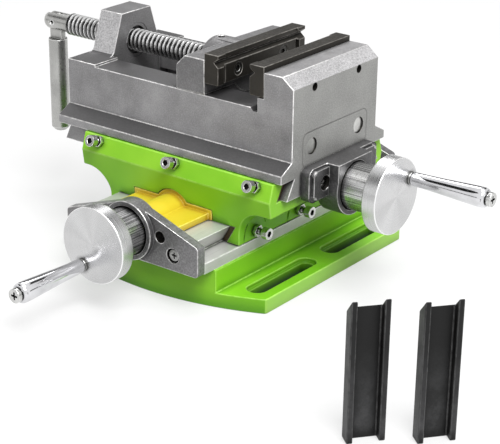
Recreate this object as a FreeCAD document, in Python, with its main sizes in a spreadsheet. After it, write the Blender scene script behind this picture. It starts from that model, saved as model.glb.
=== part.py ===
import FreeCAD, Part
import math
import os
import Sketcher
from types import SimpleNamespace
from FreeCAD import Placement, Rotation, Vector

# Cross slide vise: a drill press vise on two crossed dovetail slides.
# Millimetres, +Z up. The origin is the centre of the base's underside. X runs along the vise,
# from its clamp screw to its fixed jaw; Y runs along the base, away from the lower handwheel.

SIZES = {
    # base casting
    "base_half_width": 95,
    "base_straight_half": 84.8,
    "base_arc_sag": 22.2,
    "flange_height": 11,
    "block_half_width": 61,
    "block_height": 28,
    "corner_round": 3,
    "bolt_slot_inset": 16.5,
    "bolt_slot_y": 44.5,
    "bolt_slot_length": 73,
    "bolt_slot_width": 10,
    "bolt_slot_step_width": 15,
    "bolt_slot_step_depth": 3,
    # lower slideway, machined on top of the base
    "shelf_half_width": 60,
    "shelf_rise": 8.5,
    "slide_rise": 13.5,
    "slide_half_width": 51.5,
    "slideway_front_overhang": 2,
    "slideway_rear_overhang": 13,
    "dovetail_angle": 60,
    "nut_channel_half": 12,
    "nut_channel_depth": 18,
    # fits
    "slide_gap": 0.05,
    "face_gap": 0.3,
    "running_gap": 0.05,
    "seat_gap": 0.05,
    # saddle casting between the slides
    "saddle_y": -6,
    "saddle_half_length": 65,
    "saddle_left": 84.5,
    "saddle_right": 89,
    "saddle_belly": 4,
    "belly_drop": 13,
    "saddle_rise": 40,
    "saddle_wing_depth": 25,
    "saddle_arch_radius": 20,
    "leg_clearance": 0.4,
    "gib_thickness": 4,
    "screw_tunnel_radius": 11,
    "screw_groove_half": 9,
    "screw_groove_depth": 9.5,
    # vise body casting
    "vise_left": 113,
    "vise_right": 94,
    "vise_dovetail_half": 56,
    "vise_dovetail_height": 14.5,
    "flange_half": 63,
    "flange_edge": 6,
    "flange_slope_rise": 6.5,
    "rail_half": 51,
    "rail_rise": 45,
    "bed_half": 26,
    "rail_depth": 19,
    "bed_pocket_half": 36,
    "bed_pocket_depth": 13,
    "vise_screw_groove_half": 10,
    "vise_screw_groove_depth": 13.5,
    "fixed_jaw_thickness": 25,
    "fixed_jaw_ledge": 5.3,
    "seat_rise": 8,
    "jaw_rise": 26.5,
    "jaw_chamfer_run": 9.5,
    "jaw_chamfer_drop": 7.5,
    "relief_length": 5.7,
    "relief_depth": 2.5,
    "tower_thickness": 21,
    "tower_setback": 2,
    "tower_rise": 32,
    "tower_foot_round": 6,
    "tower_top_half": 16.2,
    "tower_foot_half": 26.4,
    "tower_pad_height": 1.8,
    "tower_pad_length": 27,
    "bore_relief_rim": 2.3,
    "bore_relief_depth": 3,
    "spot_face_rim": 4.8,
    "spot_face_depth": 0.4,
    "plug_radius": 6,
    "plug_depth": 3.5,
    "plug_recess": 1.2,
    "plug_rise": 19,
    "plug_spacing_half": 28.4,
    # jaws
    "plate_thickness": 12.2,
    "plate_height": 21.6,
    "plate_seat_gap": 0.9,
    "plate_lip": 2.6,
    "plate_groove_width": 6.4,
    "plate_groove_depth": 4,
    "plate_pad_length": 8.5,
    "plate_recess": 1.2,
    "plate_screw_half": 26.5,
    "plate_screw_rise": 7.1,
    "plate_screw_radius": 2.9,
    "plate_screw_head_radius": 4.7,
    "plate_screw_head_depth": 4,
    "jaw_front": 17.3,
    "jaw_back": -8,
    "moving_jaw_rise": 25.5,
    "moving_jaw_chamfer": 7.5,
    "jaw_lift": 0.1,
    "boss_radius": 18,
    "boss_back": -19,
    "boss_round": 9,
    "keeper_thickness": 6,
    "keeper_half": 34,
    "keeper_bolt_half": 16,
    "keeper_bolt_radius": 3,
    "keeper_bolt_reach": 10,
    "keeper_bolt_head": 3.5,
    # clamp screw
    "clamp_rise": 9,
    "clamp_radius": 8.5,
    "clamp_nose_radius": 6.4,
    "clamp_nose_end": 4,
    "hub_start": -183.9,
    "hub_length": 27.4,
    "hub_radius": 7,
    "hub_round": 6.4,
    "bar_pin_inset": 11.1,
    "bar_pin_radius": 2.5,
    "tongue_half": 6.2,
    "tongue_thickness": 4.8,
    "fork_gap": 0.2,
    "fork_end_gap": 0.8,
    "bar_radius": 7.4,
    "bar_reach": 89.7,
    "bar_shoulder_drop": 14,
    "bar_nose_length": 3,
    "jaw_pin_x": -8,
    "jaw_pin_radius": 2.8,
    # lead screws and their brackets
    "lower_axis_drop": 1,
    "upper_axis_drop": 14,
    "lead_radius": 7,
    "journal_radius": 5.5,
    "bracket_thickness": 8,
    "lower_bracket_half": 60.5,
    "lower_bracket_rise": 17.2,
    "lower_bracket_apex_half": 9.5,
    "lower_ring_height": 4,
    "dial_recess": 3,
    "ring_wall": 3.6,
    "lock_hole_x": 27,
    "lock_hole_radius": 4.3,
    "bracket_screw_x": 38.5,
    "bracket_screw_rise": 2.7,
    "upper_bracket_half": 41.5,
    "upper_bracket_drop": 5,
    "upper_bracket_rise": 20,
    "upper_bracket_round": 6,
    "upper_bracket_pad_half": 8.5,
    "upper_bracket_pad_bottom": 2.5,
    "upper_bracket_pad_top": 17.5,
    "upper_bracket_pad_height": 2,
    "upper_boss_half": 20.5,
    "upper_boss_height": 10,
    "upper_bracket_screw_y": 25,
    "upper_bracket_screw_rise": 7.2,
    "m5_radius": 2.5,
    "m5_head_radius": 4.3,
    "m5_head_height": 3.2,
    "counterbore_radius": 5.4,
    "counterbore_depth": 4.5,
    "bracket_screw_length": 12,
    "lead_nut_half_length": 13,
    "lead_nut_place": 30,
    "nut_stem_radius": 5,
    "nut_stem_length": 9,
    # handwheels
    "wheel_radius": 27.5,
    "wheel_thickness": 11,
    "wheel_edge": 1,
    "dial_radius": 17.2,
    "dial_length": 23.5,
    "grip_offset": 19.5,
    "lower_grip_angle": 239,
    "upper_grip_angle": 26,
    "spindle_radius": 3,
    "spindle_collar_radius": 4.8,
    "spindle_collar_height": 1.5,
    "grip_start_radius": 5,
    "grip_end_radius": 7.2,
    "grip_length": 59.2,
    "end_washer_radius": 4.4,
    "end_washer_height": 1,
    "end_screw_radius": 5.1,
    "end_screw_height": 2.8,
    "end_screw_reach": 9,
    # gib screws
    "gib_screw_length": 21,
    "gib_nut_height": 3.4,
    "gib_nut_radius": 4.6,
    "gib_head_length": 5,
    "upper_gib_screw_x": 3.2,
    "upper_gib_screw_pitch": 72,
    "lower_gib_screw_y": -1,
    "lower_gib_screw_pitch": 51.5,
    "lower_gib_screw_reach": 12.8,
    "gib_pocket_radius": 12,
    # yellow screw cover
    "cover_half": 33,
    "cover_height": 5,
    "cover_wall": 2.4,
    "cover_hump_radius": 13,
    "cover_rim": 3,
    "cover_rim_thickness": 3.6,
    # loose rubber jaw pads, standing on end on the bench
    "pad_length": 93,
    "pad_width": 24,
    "pad_depth": 10,
    "pad_web": 4,
    "pad_lip": 3.9,
    "pad_x": 237.2,
    "pad_y": -179,
    "pad_spacing": 42,
    "pad_angle": 50.7,
    "pad_row_angle": 39,
}


class Size:
    """A number that remembers the sheet expression that it was worked out by."""

    def __init__(self, value, text):
        self.value = value
        self.text = text

    def __add__(self, other):
        other = as_size(other)
        return Size(self.value + other.value, "(%s + %s)" % (self.text, other.text))

    def __sub__(self, other):
        other = as_size(other)
        return Size(self.value - other.value, "(%s - %s)" % (self.text, other.text))

    def __mul__(self, other):
        other = as_size(other)
        return Size(self.value * other.value, "(%s * %s)" % (self.text, other.text))

    def __truediv__(self, other):
        other = as_size(other)
        return Size(self.value / other.value, "(%s / %s)" % (self.text, other.text))

    def __neg__(self):
        return Size(-self.value, "(0 - %s)" % self.text)

    def __radd__(self, other):
        return as_size(other) + self

    def __rsub__(self, other):
        return as_size(other) - self

    def __rmul__(self, other):
        return as_size(other) * self


def as_size(amount):
    return amount if isinstance(amount, Size) else Size(float(amount), "(%r)" % float(amount))


def root(size):
    return Size(math.sqrt(size.value), "sqrt(%s)" % size.text)


def tangent(size):
    return Size(math.tan(math.radians(size.value)), "tan(%s * 1 deg)" % size.text)


def cosine(size):
    return Size(math.cos(math.radians(size.value)), "cos(%s * 1 deg)" % size.text)


def sine(size):
    return Size(math.sin(math.radians(size.value)), "sin(%s * 1 deg)" % size.text)


doc = FreeCAD.newDocument("cross_slide_vise")
sheet = doc.addObject("Spreadsheet::Sheet", "sizes")
for row, (name, number) in enumerate(SIZES.items(), start=1):
    sheet.set("A%d" % row, name)
    sheet.set("B%d" % row, str(number))
    sheet.setAlias("B%d" % row, name)
doc.recompute()
d = SimpleNamespace(**{name: Size(float(number), "sizes." + name) for name, number in SIZES.items()})


def bind(item, path, amount):
    item.setExpression(path, as_size(amount).text)


def move(item, base, rotation=None):
    """Place an object; its base point is bound to the sheet."""
    item.Placement = Placement(Vector(), rotation or Rotation())
    for letter, amount in zip("xyz", base):
        bind(item, "Placement.Base." + letter, amount)
    return item


UPRIGHT = Rotation()
TO_FRONT = Rotation(Vector(1, 0, 0), 90)
TO_REAR = Rotation(Vector(1, 0, 0), -90)
TO_RIGHT = Rotation(Vector(1, 1, 1), 120)
TO_LEFT = Rotation(Vector(0, 1, 0), -90)


# Sketched castings: pads and pockets between two levels of an origin plane

def fix_point(sketch, edge, end, point):
    for kind, amount in zip(("DistanceX", "DistanceY"), point):
        amount = as_size(amount)
        index = sketch.addConstraint(Sketcher.Constraint(kind, -1, 1, edge, end, amount.value))
        sketch.setExpression("Constraints[%d]" % index, amount.text)


def fix_radius(sketch, edge, radius):
    index = sketch.addConstraint(Sketcher.Constraint("Radius", edge, radius.value))
    sketch.setExpression("Constraints[%d]" % index, radius.text)


def arc_between(start, finish, radius, side):
    """An arc of less than half a turn; side is out for a convex corner of a loop run anticlockwise."""
    chord = finish - start
    normal = Vector(-chord.y, chord.x, 0).normalize()
    reach = math.sqrt(max(radius ** 2 - (chord.Length / 2) ** 2, 0))
    sign = 1 if side == "out" else -1
    centre = (start + finish) * 0.5 + normal * reach * sign
    first, last = (start, finish) if side == "out" else (finish, start)
    circle = Part.Circle(centre, Vector(0, 0, 1), radius)
    return Part.ArcOfCircle(circle, circle.parameter(first), circle.parameter(last))


def draw_loop(sketch, corners):
    """Close a loop through corners (u, v) or (u, v, radius, side), whose edge to the next is an arc."""
    points = [Vector(as_size(c[0]).value, as_size(c[1]).value, 0) for c in corners]
    edges = []
    for index, corner in enumerate(corners):
        start = points[index]
        finish = points[(index + 1) % len(points)]
        if len(corner) == 4:
            arc = arc_between(start, finish, corner[2].value, corner[3])
            ends = (1, 2) if corner[3] == "out" else (2, 1)
            edges.append((sketch.addGeometry(arc), *ends))
        else:
            edges.append((sketch.addGeometry(Part.LineSegment(start, finish)), 1, 2))
    for index, (edge, first, last) in enumerate(edges):
        following, start_end, _ = edges[(index + 1) % len(edges)]
        sketch.addConstraint(Sketcher.Constraint("Coincident", edge, last, following, start_end))
        fix_point(sketch, edge, first, corners[index][:2])
        if len(corners[index]) == 4:
            fix_radius(sketch, edge, corners[index][2])


class Casting:
    """One PartDesign body, padded and pocketed between levels of its origin planes."""

    def __init__(self, label):
        self.body = doc.addObject("PartDesign::Body", label)
        self.body.Label = label
        self.pockets = []

    def sketch(self, plane, low, high):
        drawing = self.body.newObject("Sketcher::SketchObject", "outline")
        role = plane + "_Plane"
        datum = [feature for feature in self.body.Origin.OriginFeatures if feature.Role == role][0]
        drawing.AttachmentSupport = [(datum, "")]
        drawing.MapMode = "FlatFace"
        # The XZ plane looks along -Y, so its levels count backwards.
        bind(drawing, "AttachmentOffset.Base.z", -high if plane == "XZ" else low)
        return drawing

    def extrude(self, drawing, low, high, cut):
        drawing.Visibility = False
        feature = self.body.newObject("PartDesign::Pocket" if cut else "PartDesign::Pad", "feature")
        feature.Profile = drawing
        feature.Reversed = cut
        bind(feature, "Length", high - low)
        if cut:
            self.pockets.append(feature)
        return feature

    def loop(self, plane, corners, low, high, cut=False):
        low, high = as_size(low), as_size(high)
        drawing = self.sketch(plane, low, high)
        draw_loop(drawing, corners)
        return self.extrude(drawing, low, high, cut)

    def disc(self, plane, centre, radius, low, high, cut=False):
        low, high, radius = as_size(low), as_size(high), as_size(radius)
        drawing = self.sketch(plane, low, high)
        middle = Vector(as_size(centre[0]).value, as_size(centre[1]).value, 0)
        edge = drawing.addGeometry(Part.Circle(middle, Vector(0, 0, 1), radius.value))
        fix_point(drawing, edge, 3, centre)
        fix_radius(drawing, edge, radius)
        return self.extrude(drawing, low, high, cut)

    def soften(self, radius, wanted, kind="Fillet"):
        """Round or chamfer the tip's edges that wanted() picks by their middle and direction."""
        doc.recompute()
        tip = self.body.Tip
        names = []
        for number, edge in enumerate(tip.Shape.Edges, start=1):
            middle = edge.valueAt((edge.FirstParameter + edge.LastParameter) / 2)
            if wanted(middle, edge):
                names.append("Edge%d" % number)
        feature = self.body.newObject("PartDesign::" + kind, kind.lower())
        feature.Base = (tip, names)
        bind(feature, "Radius" if kind == "Fillet" else "Size", radius)
        return feature


def box_corners(left, bottom, right, top):
    return [(left, bottom), (right, bottom), (right, top), (left, top)]


def near(amount, size, slack=0.01):
    return abs(amount - as_size(size).value) < slack


# Turned and plain hardware, from Part primitives

def rod(radius, length, start=0, name="rod"):
    item = doc.addObject("Part::Cylinder", name)
    bind(item, "Radius", radius)
    bind(item, "Height", length)
    return move(item, (0, 0, start))


def cone(first, second, length, start=0):
    item = doc.addObject("Part::Cone", "cone")
    bind(item, "Radius1", first)
    bind(item, "Radius2", second)
    bind(item, "Height", length)
    return move(item, (0, 0, start))


def hexagon(radius, length, start=0):
    item = doc.addObject("Part::Prism", "hexagon")
    item.Polygon = 6
    bind(item, "Circumradius", radius)
    bind(item, "Height", length)
    return move(item, (0, 0, start))


def block(corner, sides):
    item = doc.addObject("Part::Box", "block")
    for prop, side in zip(("Length", "Width", "Height"), sides):
        bind(item, prop, side)
    return move(item, corner)


def fuse(items, label="fused"):
    item = doc.addObject("Part::MultiFuse", label)
    item.Shapes = items
    item.Label = label
    return item


def cut(base, tool, label="cut"):
    item = doc.addObject("Part::Cut", label)
    item.Base = base
    item.Tool = tool
    item.Label = label
    return item


def group(items, label):
    item = doc.addObject("Part::Compound", label)
    item.Links = items
    item.Label = label
    return item


def rename(item, label):
    item.Label = label
    return item


parts = []


def keep(item):
    parts.append(item)
    return item


# Heights and offsets that several castings share

d.shelf_top = d.block_height + d.shelf_rise
d.bolt_slot_x = d.base_half_width - d.bolt_slot_inset
d.slide_top = d.shelf_top + d.slide_rise
d.slideway_front = d.base_straight_half + d.base_arc_sag + d.slideway_front_overhang
d.slideway_rear = d.base_straight_half + d.base_arc_sag + d.slideway_rear_overhang
d.nut_channel_floor = d.slide_top - d.nut_channel_depth
d.vise_underside = d.slide_top + d.saddle_rise
d.belly_height = d.vise_underside - d.belly_drop
d.saddle_wing_underside = d.vise_underside - d.saddle_wing_depth
d.flange_slope_top = d.vise_underside + d.flange_edge + d.flange_slope_rise
d.rail_top = d.vise_underside + d.rail_rise
d.bed_ceiling = d.rail_top - d.rail_depth
d.bed_floor = d.bed_ceiling - d.bed_pocket_depth
d.vise_screw_groove_top = d.vise_underside - d.vise_dovetail_height + d.vise_screw_groove_depth
d.fixed_jaw_face = d.vise_right - d.fixed_jaw_thickness
d.fixed_jaw_web = d.fixed_jaw_face - d.fixed_jaw_ledge
d.relief_start = d.fixed_jaw_web - d.relief_length
d.seat_height = d.rail_top + d.seat_rise
d.plate_floor = d.seat_height + d.plate_seat_gap
d.plate_screw_height = d.plate_floor + d.plate_screw_rise
d.jaw_top = d.rail_top + d.jaw_rise
d.moving_jaw_top = d.rail_top + d.moving_jaw_rise
d.tower_top = d.rail_top + d.tower_rise
d.plug_height = d.vise_underside + d.plug_rise
d.clamp_height = d.rail_top + d.clamp_rise
d.bar_x = d.hub_start + d.bar_pin_inset
d.bar_shoulder = d.clamp_height - d.bar_shoulder_drop
d.bar_end = d.clamp_height - d.bar_reach
d.lower_axis_height = d.slide_top - d.lower_axis_drop
d.upper_axis_height = d.vise_underside - d.upper_axis_drop
d.lower_bracket_bottom = d.block_height
d.lower_bracket_shoulder = d.slide_top
d.lower_bracket_apex = d.slide_top + d.lower_bracket_rise
d.bracket_screw_height = d.shelf_top + d.bracket_screw_rise
d.upper_bracket_bottom = d.upper_axis_height - d.upper_bracket_drop
d.upper_bracket_top = d.upper_axis_height + d.upper_bracket_rise
d.upper_bracket_screw_height = d.upper_axis_height + d.upper_bracket_screw_rise

slope = tangent(d.dovetail_angle)
gib_run = d.gib_thickness / sine(d.dovetail_angle)
saddle_floor = d.vise_underside - d.vise_dovetail_height - d.slide_gap
saddle_top = d.vise_underside - d.face_gap
saddle_under = d.slide_top + d.slide_gap
leg_bottom = d.shelf_top + d.leg_clearance
saddle_front = d.saddle_y - d.saddle_half_length
saddle_back = d.saddle_y + d.saddle_half_length
lower_bracket_back = -d.slideway_front
lower_ring_face = lower_bracket_back - d.bracket_thickness - d.lower_ring_height
upper_boss_face = d.vise_right + d.bracket_thickness + d.upper_boss_height
dial_bore_radius = d.dial_radius + 0.8
ring_radius = dial_bore_radius + d.ring_wall
dovetail_bottom = d.vise_underside - d.vise_dovetail_height


def slide_half_at(height):
    """Half width of the lower male dovetail at a height."""
    return d.slide_half_width - (d.slide_top - height) / slope


def vise_half_at(height):
    """Half width of the vise's male dovetail at a height."""
    return d.vise_dovetail_half - (height - dovetail_bottom) / slope


def build_base():
    base = Casting("base")
    radius = (d.base_half_width * d.base_half_width + d.base_arc_sag * d.base_arc_sag)
    radius = radius / (2 * d.base_arc_sag)
    apex = d.base_straight_half + d.base_arc_sag

    def end_at(half):
        return apex - radius + root(radius * radius - half * half)

    def footprint(half):
        end = end_at(half)
        return [(-half, -end, radius, "out"), (half, -end), (half, end, radius, "out"), (-half, end)]

    base.loop("XY", footprint(d.base_half_width), 0, d.flange_height)
    base.loop("XY", footprint(d.block_half_width), 0, d.block_height)
    shelf = box_corners(-d.shelf_half_width, -d.slideway_front, d.shelf_half_width, d.slideway_rear)
    base.loop("XY", shelf, d.block_height, d.shelf_top)
    foot = slide_half_at(d.shelf_top)
    dovetail = [(-foot, d.shelf_top), (foot, d.shelf_top),
                (d.slide_half_width, d.slide_top), (-d.slide_half_width, d.slide_top)]
    base.loop("XZ", dovetail, -d.slideway_front, d.slideway_rear)
    channel = box_corners(-d.nut_channel_half, d.nut_channel_floor, d.nut_channel_half, d.slide_top)
    base.loop("XZ", channel, -d.slideway_front, d.slideway_rear, cut=True)
    for side in (-1, 1):
        for end in (-1, 1):
            cut_bolt_slot(base, side * d.bolt_slot_x, end * d.bolt_slot_y)
        hole = (side * d.bracket_screw_x, d.bracket_screw_height)
        depth = d.bracket_screw_length - d.bracket_thickness + d.counterbore_depth + 1
        bore = d.m5_radius + d.seat_gap
        base.disc("XZ", hole, bore, -d.slideway_front, -d.slideway_front + depth, cut=True)
        base.disc("XZ", hole, bore, d.slideway_rear - depth, d.slideway_rear, cut=True)

    def upright_corner(middle, edge):
        upright = near(edge.tangentAt(edge.FirstParameter).z ** 2, 1)
        return upright and near(abs(middle.x), d.base_half_width)

    base.soften(d.corner_round, upright_corner)
    keep(base.body)
    return base


def cut_bolt_slot(base, x, y):
    """A stepped slot for a hold-down bolt, run along Y."""
    levels = ((d.bolt_slot_width, 0, d.flange_height),
              (d.bolt_slot_step_width, d.flange_height - d.bolt_slot_step_depth, d.flange_height))
    for width, low, high in levels:
        half = width / 2
        reach = d.bolt_slot_length / 2 - half
        if width is d.bolt_slot_width:
            reach = d.bolt_slot_length / 2 - d.bolt_slot_step_width / 2
        base.loop("XY", box_corners(x - half, y - reach, x + half, y + reach), low, high, cut=True)
        for end in (-1, 1):
            base.disc("XY", (x, y + end * reach), half, low, high, cut=True)


def build_saddle():
    saddle = Casting("saddle_casting")
    gap = d.slide_gap
    top_half = d.slide_half_width + (saddle_under - d.slide_top) / slope
    foot_half = slide_half_at(leg_bottom)
    leg = d.shelf_half_width
    arch = d.saddle_arch_radius
    wing = d.saddle_wing_underside
    profile = [
        (-leg, leg_bottom), (-foot_half - gap, leg_bottom), (-top_half - gap, saddle_under),
        (top_half + gib_run + 2 * gap, saddle_under), (foot_half + gib_run + 2 * gap, leg_bottom),
        (leg, leg_bottom), (leg, wing - arch, arch, "in"), (leg + arch, wing),
        (d.saddle_right, wing), (d.saddle_right, saddle_top), (-d.saddle_left, saddle_top),
        (-d.saddle_left, wing), (-leg - arch, wing, arch, "in"), (-leg, wing - arch),
    ]
    front = saddle_front - d.saddle_belly
    back = saddle_back + d.saddle_belly
    saddle.loop("XZ", profile, front, back)
    # The end faces lean out from the slideway to the belly line, and back in above it.
    below = leg_bottom - 1
    above = saddle_top + 1
    for side, outer, inner in ((-1, front, saddle_front), (1, back, saddle_back)):
        lower_wedge = [(outer + side, below), (inner, below), (inner, d.slide_top),
                       (outer, d.belly_height), (outer + side, d.belly_height)]
        upper_wedge = [(outer + side, d.belly_height), (outer, d.belly_height),
                       (inner, saddle_top), (inner, above), (outer + side, above)]
        for wedge in (lower_wedge, upper_wedge):
            corners = wedge if side < 0 else wedge[::-1]
            saddle.loop("YZ", corners, -d.saddle_left, d.saddle_right, cut=True)
    wide = d.vise_dovetail_half + gap
    narrow = vise_half_at(above) + gap
    gib_side = gib_run + gap
    dovetail = [(d.saddle_y - wide - gib_side, saddle_floor), (d.saddle_y + wide, saddle_floor),
                (d.saddle_y + narrow, above), (d.saddle_y - narrow - gib_side, above)]
    saddle.loop("YZ", dovetail, -d.saddle_left, d.saddle_right, cut=True)
    groove = box_corners(d.saddle_y - d.screw_groove_half, saddle_floor - d.screw_groove_depth,
                         d.saddle_y + d.screw_groove_half, saddle_floor)
    saddle.loop("YZ", groove, -d.saddle_left, d.saddle_right, cut=True)
    axis = (0, d.lower_axis_height)
    saddle.disc("XZ", axis, d.screw_tunnel_radius, front, back, cut=True)
    # The lower lead nut seats in a pocket over the tunnel, the upper nut on a stem in the groove.
    nut_y = d.saddle_y + d.lead_nut_place
    nut_half = d.nut_channel_half - 1
    ceiling = saddle_under + d.screw_tunnel_radius + 1
    pocket = box_corners(-nut_half - d.seat_gap, nut_y - d.lead_nut_half_length,
                         nut_half + d.seat_gap, nut_y + d.lead_nut_half_length)
    saddle.loop("XY", pocket, saddle_under, ceiling, cut=True)
    saddle.disc("XY", (0, nut_y), d.m5_radius + d.seat_gap, ceiling, saddle_floor, cut=True)
    head = d.m5_head_radius + d.seat_gap
    saddle.disc("XY", (0, nut_y), head, saddle_floor - d.m5_head_height - 1, saddle_floor, cut=True)
    groove_floor = saddle_floor - d.screw_groove_depth
    stem = d.nut_stem_radius + d.seat_gap
    stem_low = groove_floor - d.nut_stem_length
    saddle.disc("XY", (d.lead_nut_place, d.saddle_y), stem, stem_low, groove_floor, cut=True)
    for corners in cover_outline(d.cover_rim + 0.2, inner=False):
        saddle.loop("XZ", corners, front, saddle_front + d.cover_rim_thickness, cut=True)
    lower_hole = d.m5_radius + d.seat_gap
    for step in (-1, 0, 1):
        place = (d.lower_gib_screw_y + step * d.lower_gib_screw_pitch, gib_screw_height())
        saddle.disc("YZ", place, lower_hole, d.slide_half_width - 5, leg + 1, cut=True)
        saddle.disc("YZ", place, d.gib_pocket_radius, leg, d.saddle_right + 1, cut=True)
    keep(cut(saddle.body, upper_gib_screw_drills(), "saddle"))
    return saddle


def gib_screw_height():
    return (d.shelf_top + d.slide_top) / 2


def upper_screw_tilt():
    """The upper gib screws stand square to the leaning upper end face."""
    run = Size(SIZES["saddle_belly"], "sizes.saddle_belly")
    rise = saddle_top - d.belly_height
    value = math.degrees(math.atan2(run.value, rise.value))
    return Size(value, "(atan(%s / %s) / 1 deg)" % (run.text, rise.text))


def upper_gib_point():
    """Where the middle gib screw meets the outer face of the gib, in Y and Z."""
    height = (saddle_floor + saddle_top) / 2
    return d.saddle_y - vise_half_at(height) - 2 * d.slide_gap - gib_run, height


def tilted(item, x):
    """Lay a piece along an upper gib screw, whose tip stands clear of the leaning gib."""
    tilt = upper_screw_tilt()
    y, height = upper_gib_point()
    back_off = d.m5_radius * tangent(90 - d.dovetail_angle - tilt) + d.seat_gap
    move(item, (x, y - back_off * cosine(tilt), height + back_off * sine(tilt)), TO_FRONT)
    bind(item, "Placement.Rotation.Angle", 90 - tilt)
    return item


def upper_gib_screw_drills():
    drills = []
    for step in (-1, 0, 1):
        drill = rod(d.m5_radius + d.seat_gap, d.gib_screw_length, name="drill")
        drills.append(tilted(drill, d.upper_gib_screw_x + step * d.upper_gib_screw_pitch))
    return group(drills, "gib_screw_drills")


def cover_outline(grow, inner):
    """The cover's section across the slideway: a flat strip with a round hump over the lead screw."""
    foot = d.slide_top + 2 * d.slide_gap
    half = d.cover_half + grow
    flat = d.slide_top + d.cover_height + grow
    radius = d.cover_hump_radius + grow
    if inner:
        foot = foot - 1
    hump_half = root(radius * radius - (flat - d.lower_axis_height) * (flat - d.lower_axis_height))
    return [[(-half, foot), (half, foot), (half, flat), (hump_half, flat, radius, "out"),
             (-hump_half, flat), (-half, flat)]]


def build_cover():
    cover = Casting("screw_cover")
    front = lower_bracket_back + d.face_gap
    back = saddle_front + d.cover_rim_thickness - 0.2
    face = saddle_front - 1
    for corners in cover_outline(as_size(0), inner=False):
        cover.loop("XZ", corners, front, back)
    for corners in cover_outline(d.cover_rim, inner=False):
        cover.loop("XZ", corners, face, back)
    for corners in cover_outline(-d.cover_wall, inner=True):
        cover.loop("XZ", corners, front, back, cut=True)
    keep(cover.body)


def build_gibs():
    gap = d.slide_gap
    lower = Casting("lower_gib")
    low = d.shelf_top + d.leg_clearance + 0.3
    high = d.slide_top - 0.3
    corners = []
    for height, shift in ((low, 0), (low, gib_run), (high, gib_run), (high, 0)):
        corners.append((slide_half_at(height) + gap + shift, height))
    lower.loop("XZ", corners, saddle_front + 1, saddle_back - 1)
    keep(lower.body)
    upper = Casting("upper_gib")
    low = dovetail_bottom + 0.4
    high = saddle_top - 0.5
    corners = []
    for height, shift in ((low, gib_run), (low, 0), (high, 0), (high, gib_run)):
        corners.append((d.saddle_y - vise_half_at(height) - gap - shift, height))
    upper.loop("YZ", corners, -d.saddle_left + 1, d.saddle_right - 1)
    keep(upper.body)


def socket_screw(length):
    """A gib screw along +Z: its tip at 0, a socket head at its end."""
    shank = rod(d.m5_radius, length - d.gib_head_length)
    head = rod(d.m5_head_radius, d.gib_head_length, length - d.gib_head_length)
    socket = hexagon(d.m5_head_radius * 0.55, d.gib_head_length * 0.5, length - d.gib_head_length * 0.5)
    return cut(fuse([shank, head]), socket)


def lock_nut(start):
    nut = hexagon(d.gib_nut_radius, d.gib_nut_height, start)
    return cut(nut, rod(d.m5_radius + d.seat_gap, 3 * d.gib_nut_height, start - d.gib_nut_height))


def build_gib_hardware():
    tilt = upper_screw_tilt()
    y, height = upper_gib_point()
    # Along the screw, the leaning end face lies where the wall ends.
    back_off = d.m5_radius * tangent(90 - d.dovetail_angle - tilt) + d.seat_gap
    wall = (y - (saddle_front - (saddle_top - height) * tangent(tilt))) * cosine(tilt) - back_off + 0.1
    screws, nuts = [], []
    for step in (-1, 0, 1):
        x = d.upper_gib_screw_x + step * d.upper_gib_screw_pitch
        screws.append(tilted(socket_screw(d.gib_screw_length), x))
        nuts.append(tilted(lock_nut(wall + d.seat_gap), x))
    keep(group(screws, "upper_gib_screws"))
    keep(group(nuts, "upper_gib_lock_nuts"))
    middle = gib_screw_height()
    # The flat tip meets the leaning gib at the tip's upper edge.
    tip = slide_half_at(middle + d.m5_radius) + 2 * d.slide_gap + gib_run
    length = d.shelf_half_width - tip + d.lower_gib_screw_reach
    screws, nuts = [], []
    for step in (-1, 0, 1):
        y = d.lower_gib_screw_y + step * d.lower_gib_screw_pitch
        screws.append(move(socket_screw(length), (tip, y, middle), TO_RIGHT))
        nuts.append(move(lock_nut(d.shelf_half_width - tip + d.leg_clearance), (tip, y, middle), TO_RIGHT))
    keep(group(screws, "lower_gib_screws"))
    keep(group(nuts, "lower_gib_lock_nuts"))


def build_lower_bracket(label, back, ring):
    """The end casting of the lower slideway: a low gable, with or without the dial's ring."""
    bracket = Casting(label)
    front = back - d.bracket_thickness if ring else back + d.bracket_thickness
    low, high = (front, back) if ring else (back, front)
    gable = [(-d.lower_bracket_half, d.lower_bracket_bottom), (d.lower_bracket_half, d.lower_bracket_bottom),
             (d.lower_bracket_half, d.lower_bracket_shoulder),
             (d.lower_bracket_apex_half, d.lower_bracket_apex),
             (-d.lower_bracket_apex_half, d.lower_bracket_apex),
             (-d.lower_bracket_half, d.lower_bracket_shoulder)]
    bracket.loop("XZ", gable, low, high)
    axis = (0, d.lower_axis_height)
    if ring:
        bracket.disc("XZ", axis, ring_radius, lower_ring_face, high)
        bracket.disc("XZ", axis, dial_bore_radius, lower_ring_face, low + d.dial_recess, cut=True)
    bracket.disc("XZ", axis, d.journal_radius + d.running_gap, low - d.lower_ring_height, high, cut=True)
    for side in (-1, 1):
        place = (side * d.bracket_screw_x, d.bracket_screw_height)
        bracket.disc("XZ", place, d.m5_radius + d.seat_gap, low, high, cut=True)
        bore_low, bore_high = (low, low + d.counterbore_depth)
        if not ring:
            bore_low, bore_high = (high - d.counterbore_depth, high)
        bracket.disc("XZ", place, d.counterbore_radius, bore_low, bore_high, cut=True)
        if ring:
            hole = (side * d.lock_hole_x, d.lower_axis_height + 1)
            bracket.disc("XZ", hole, d.lock_hole_radius, low, high, cut=True)

    def end_corner(middle, edge):
        return near(abs(middle.x), d.lower_bracket_half) and near(abs(edge.tangentAt(0).y), 1)

    bracket.soften(d.corner_round, end_corner)
    keep(bracket.body)


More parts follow.
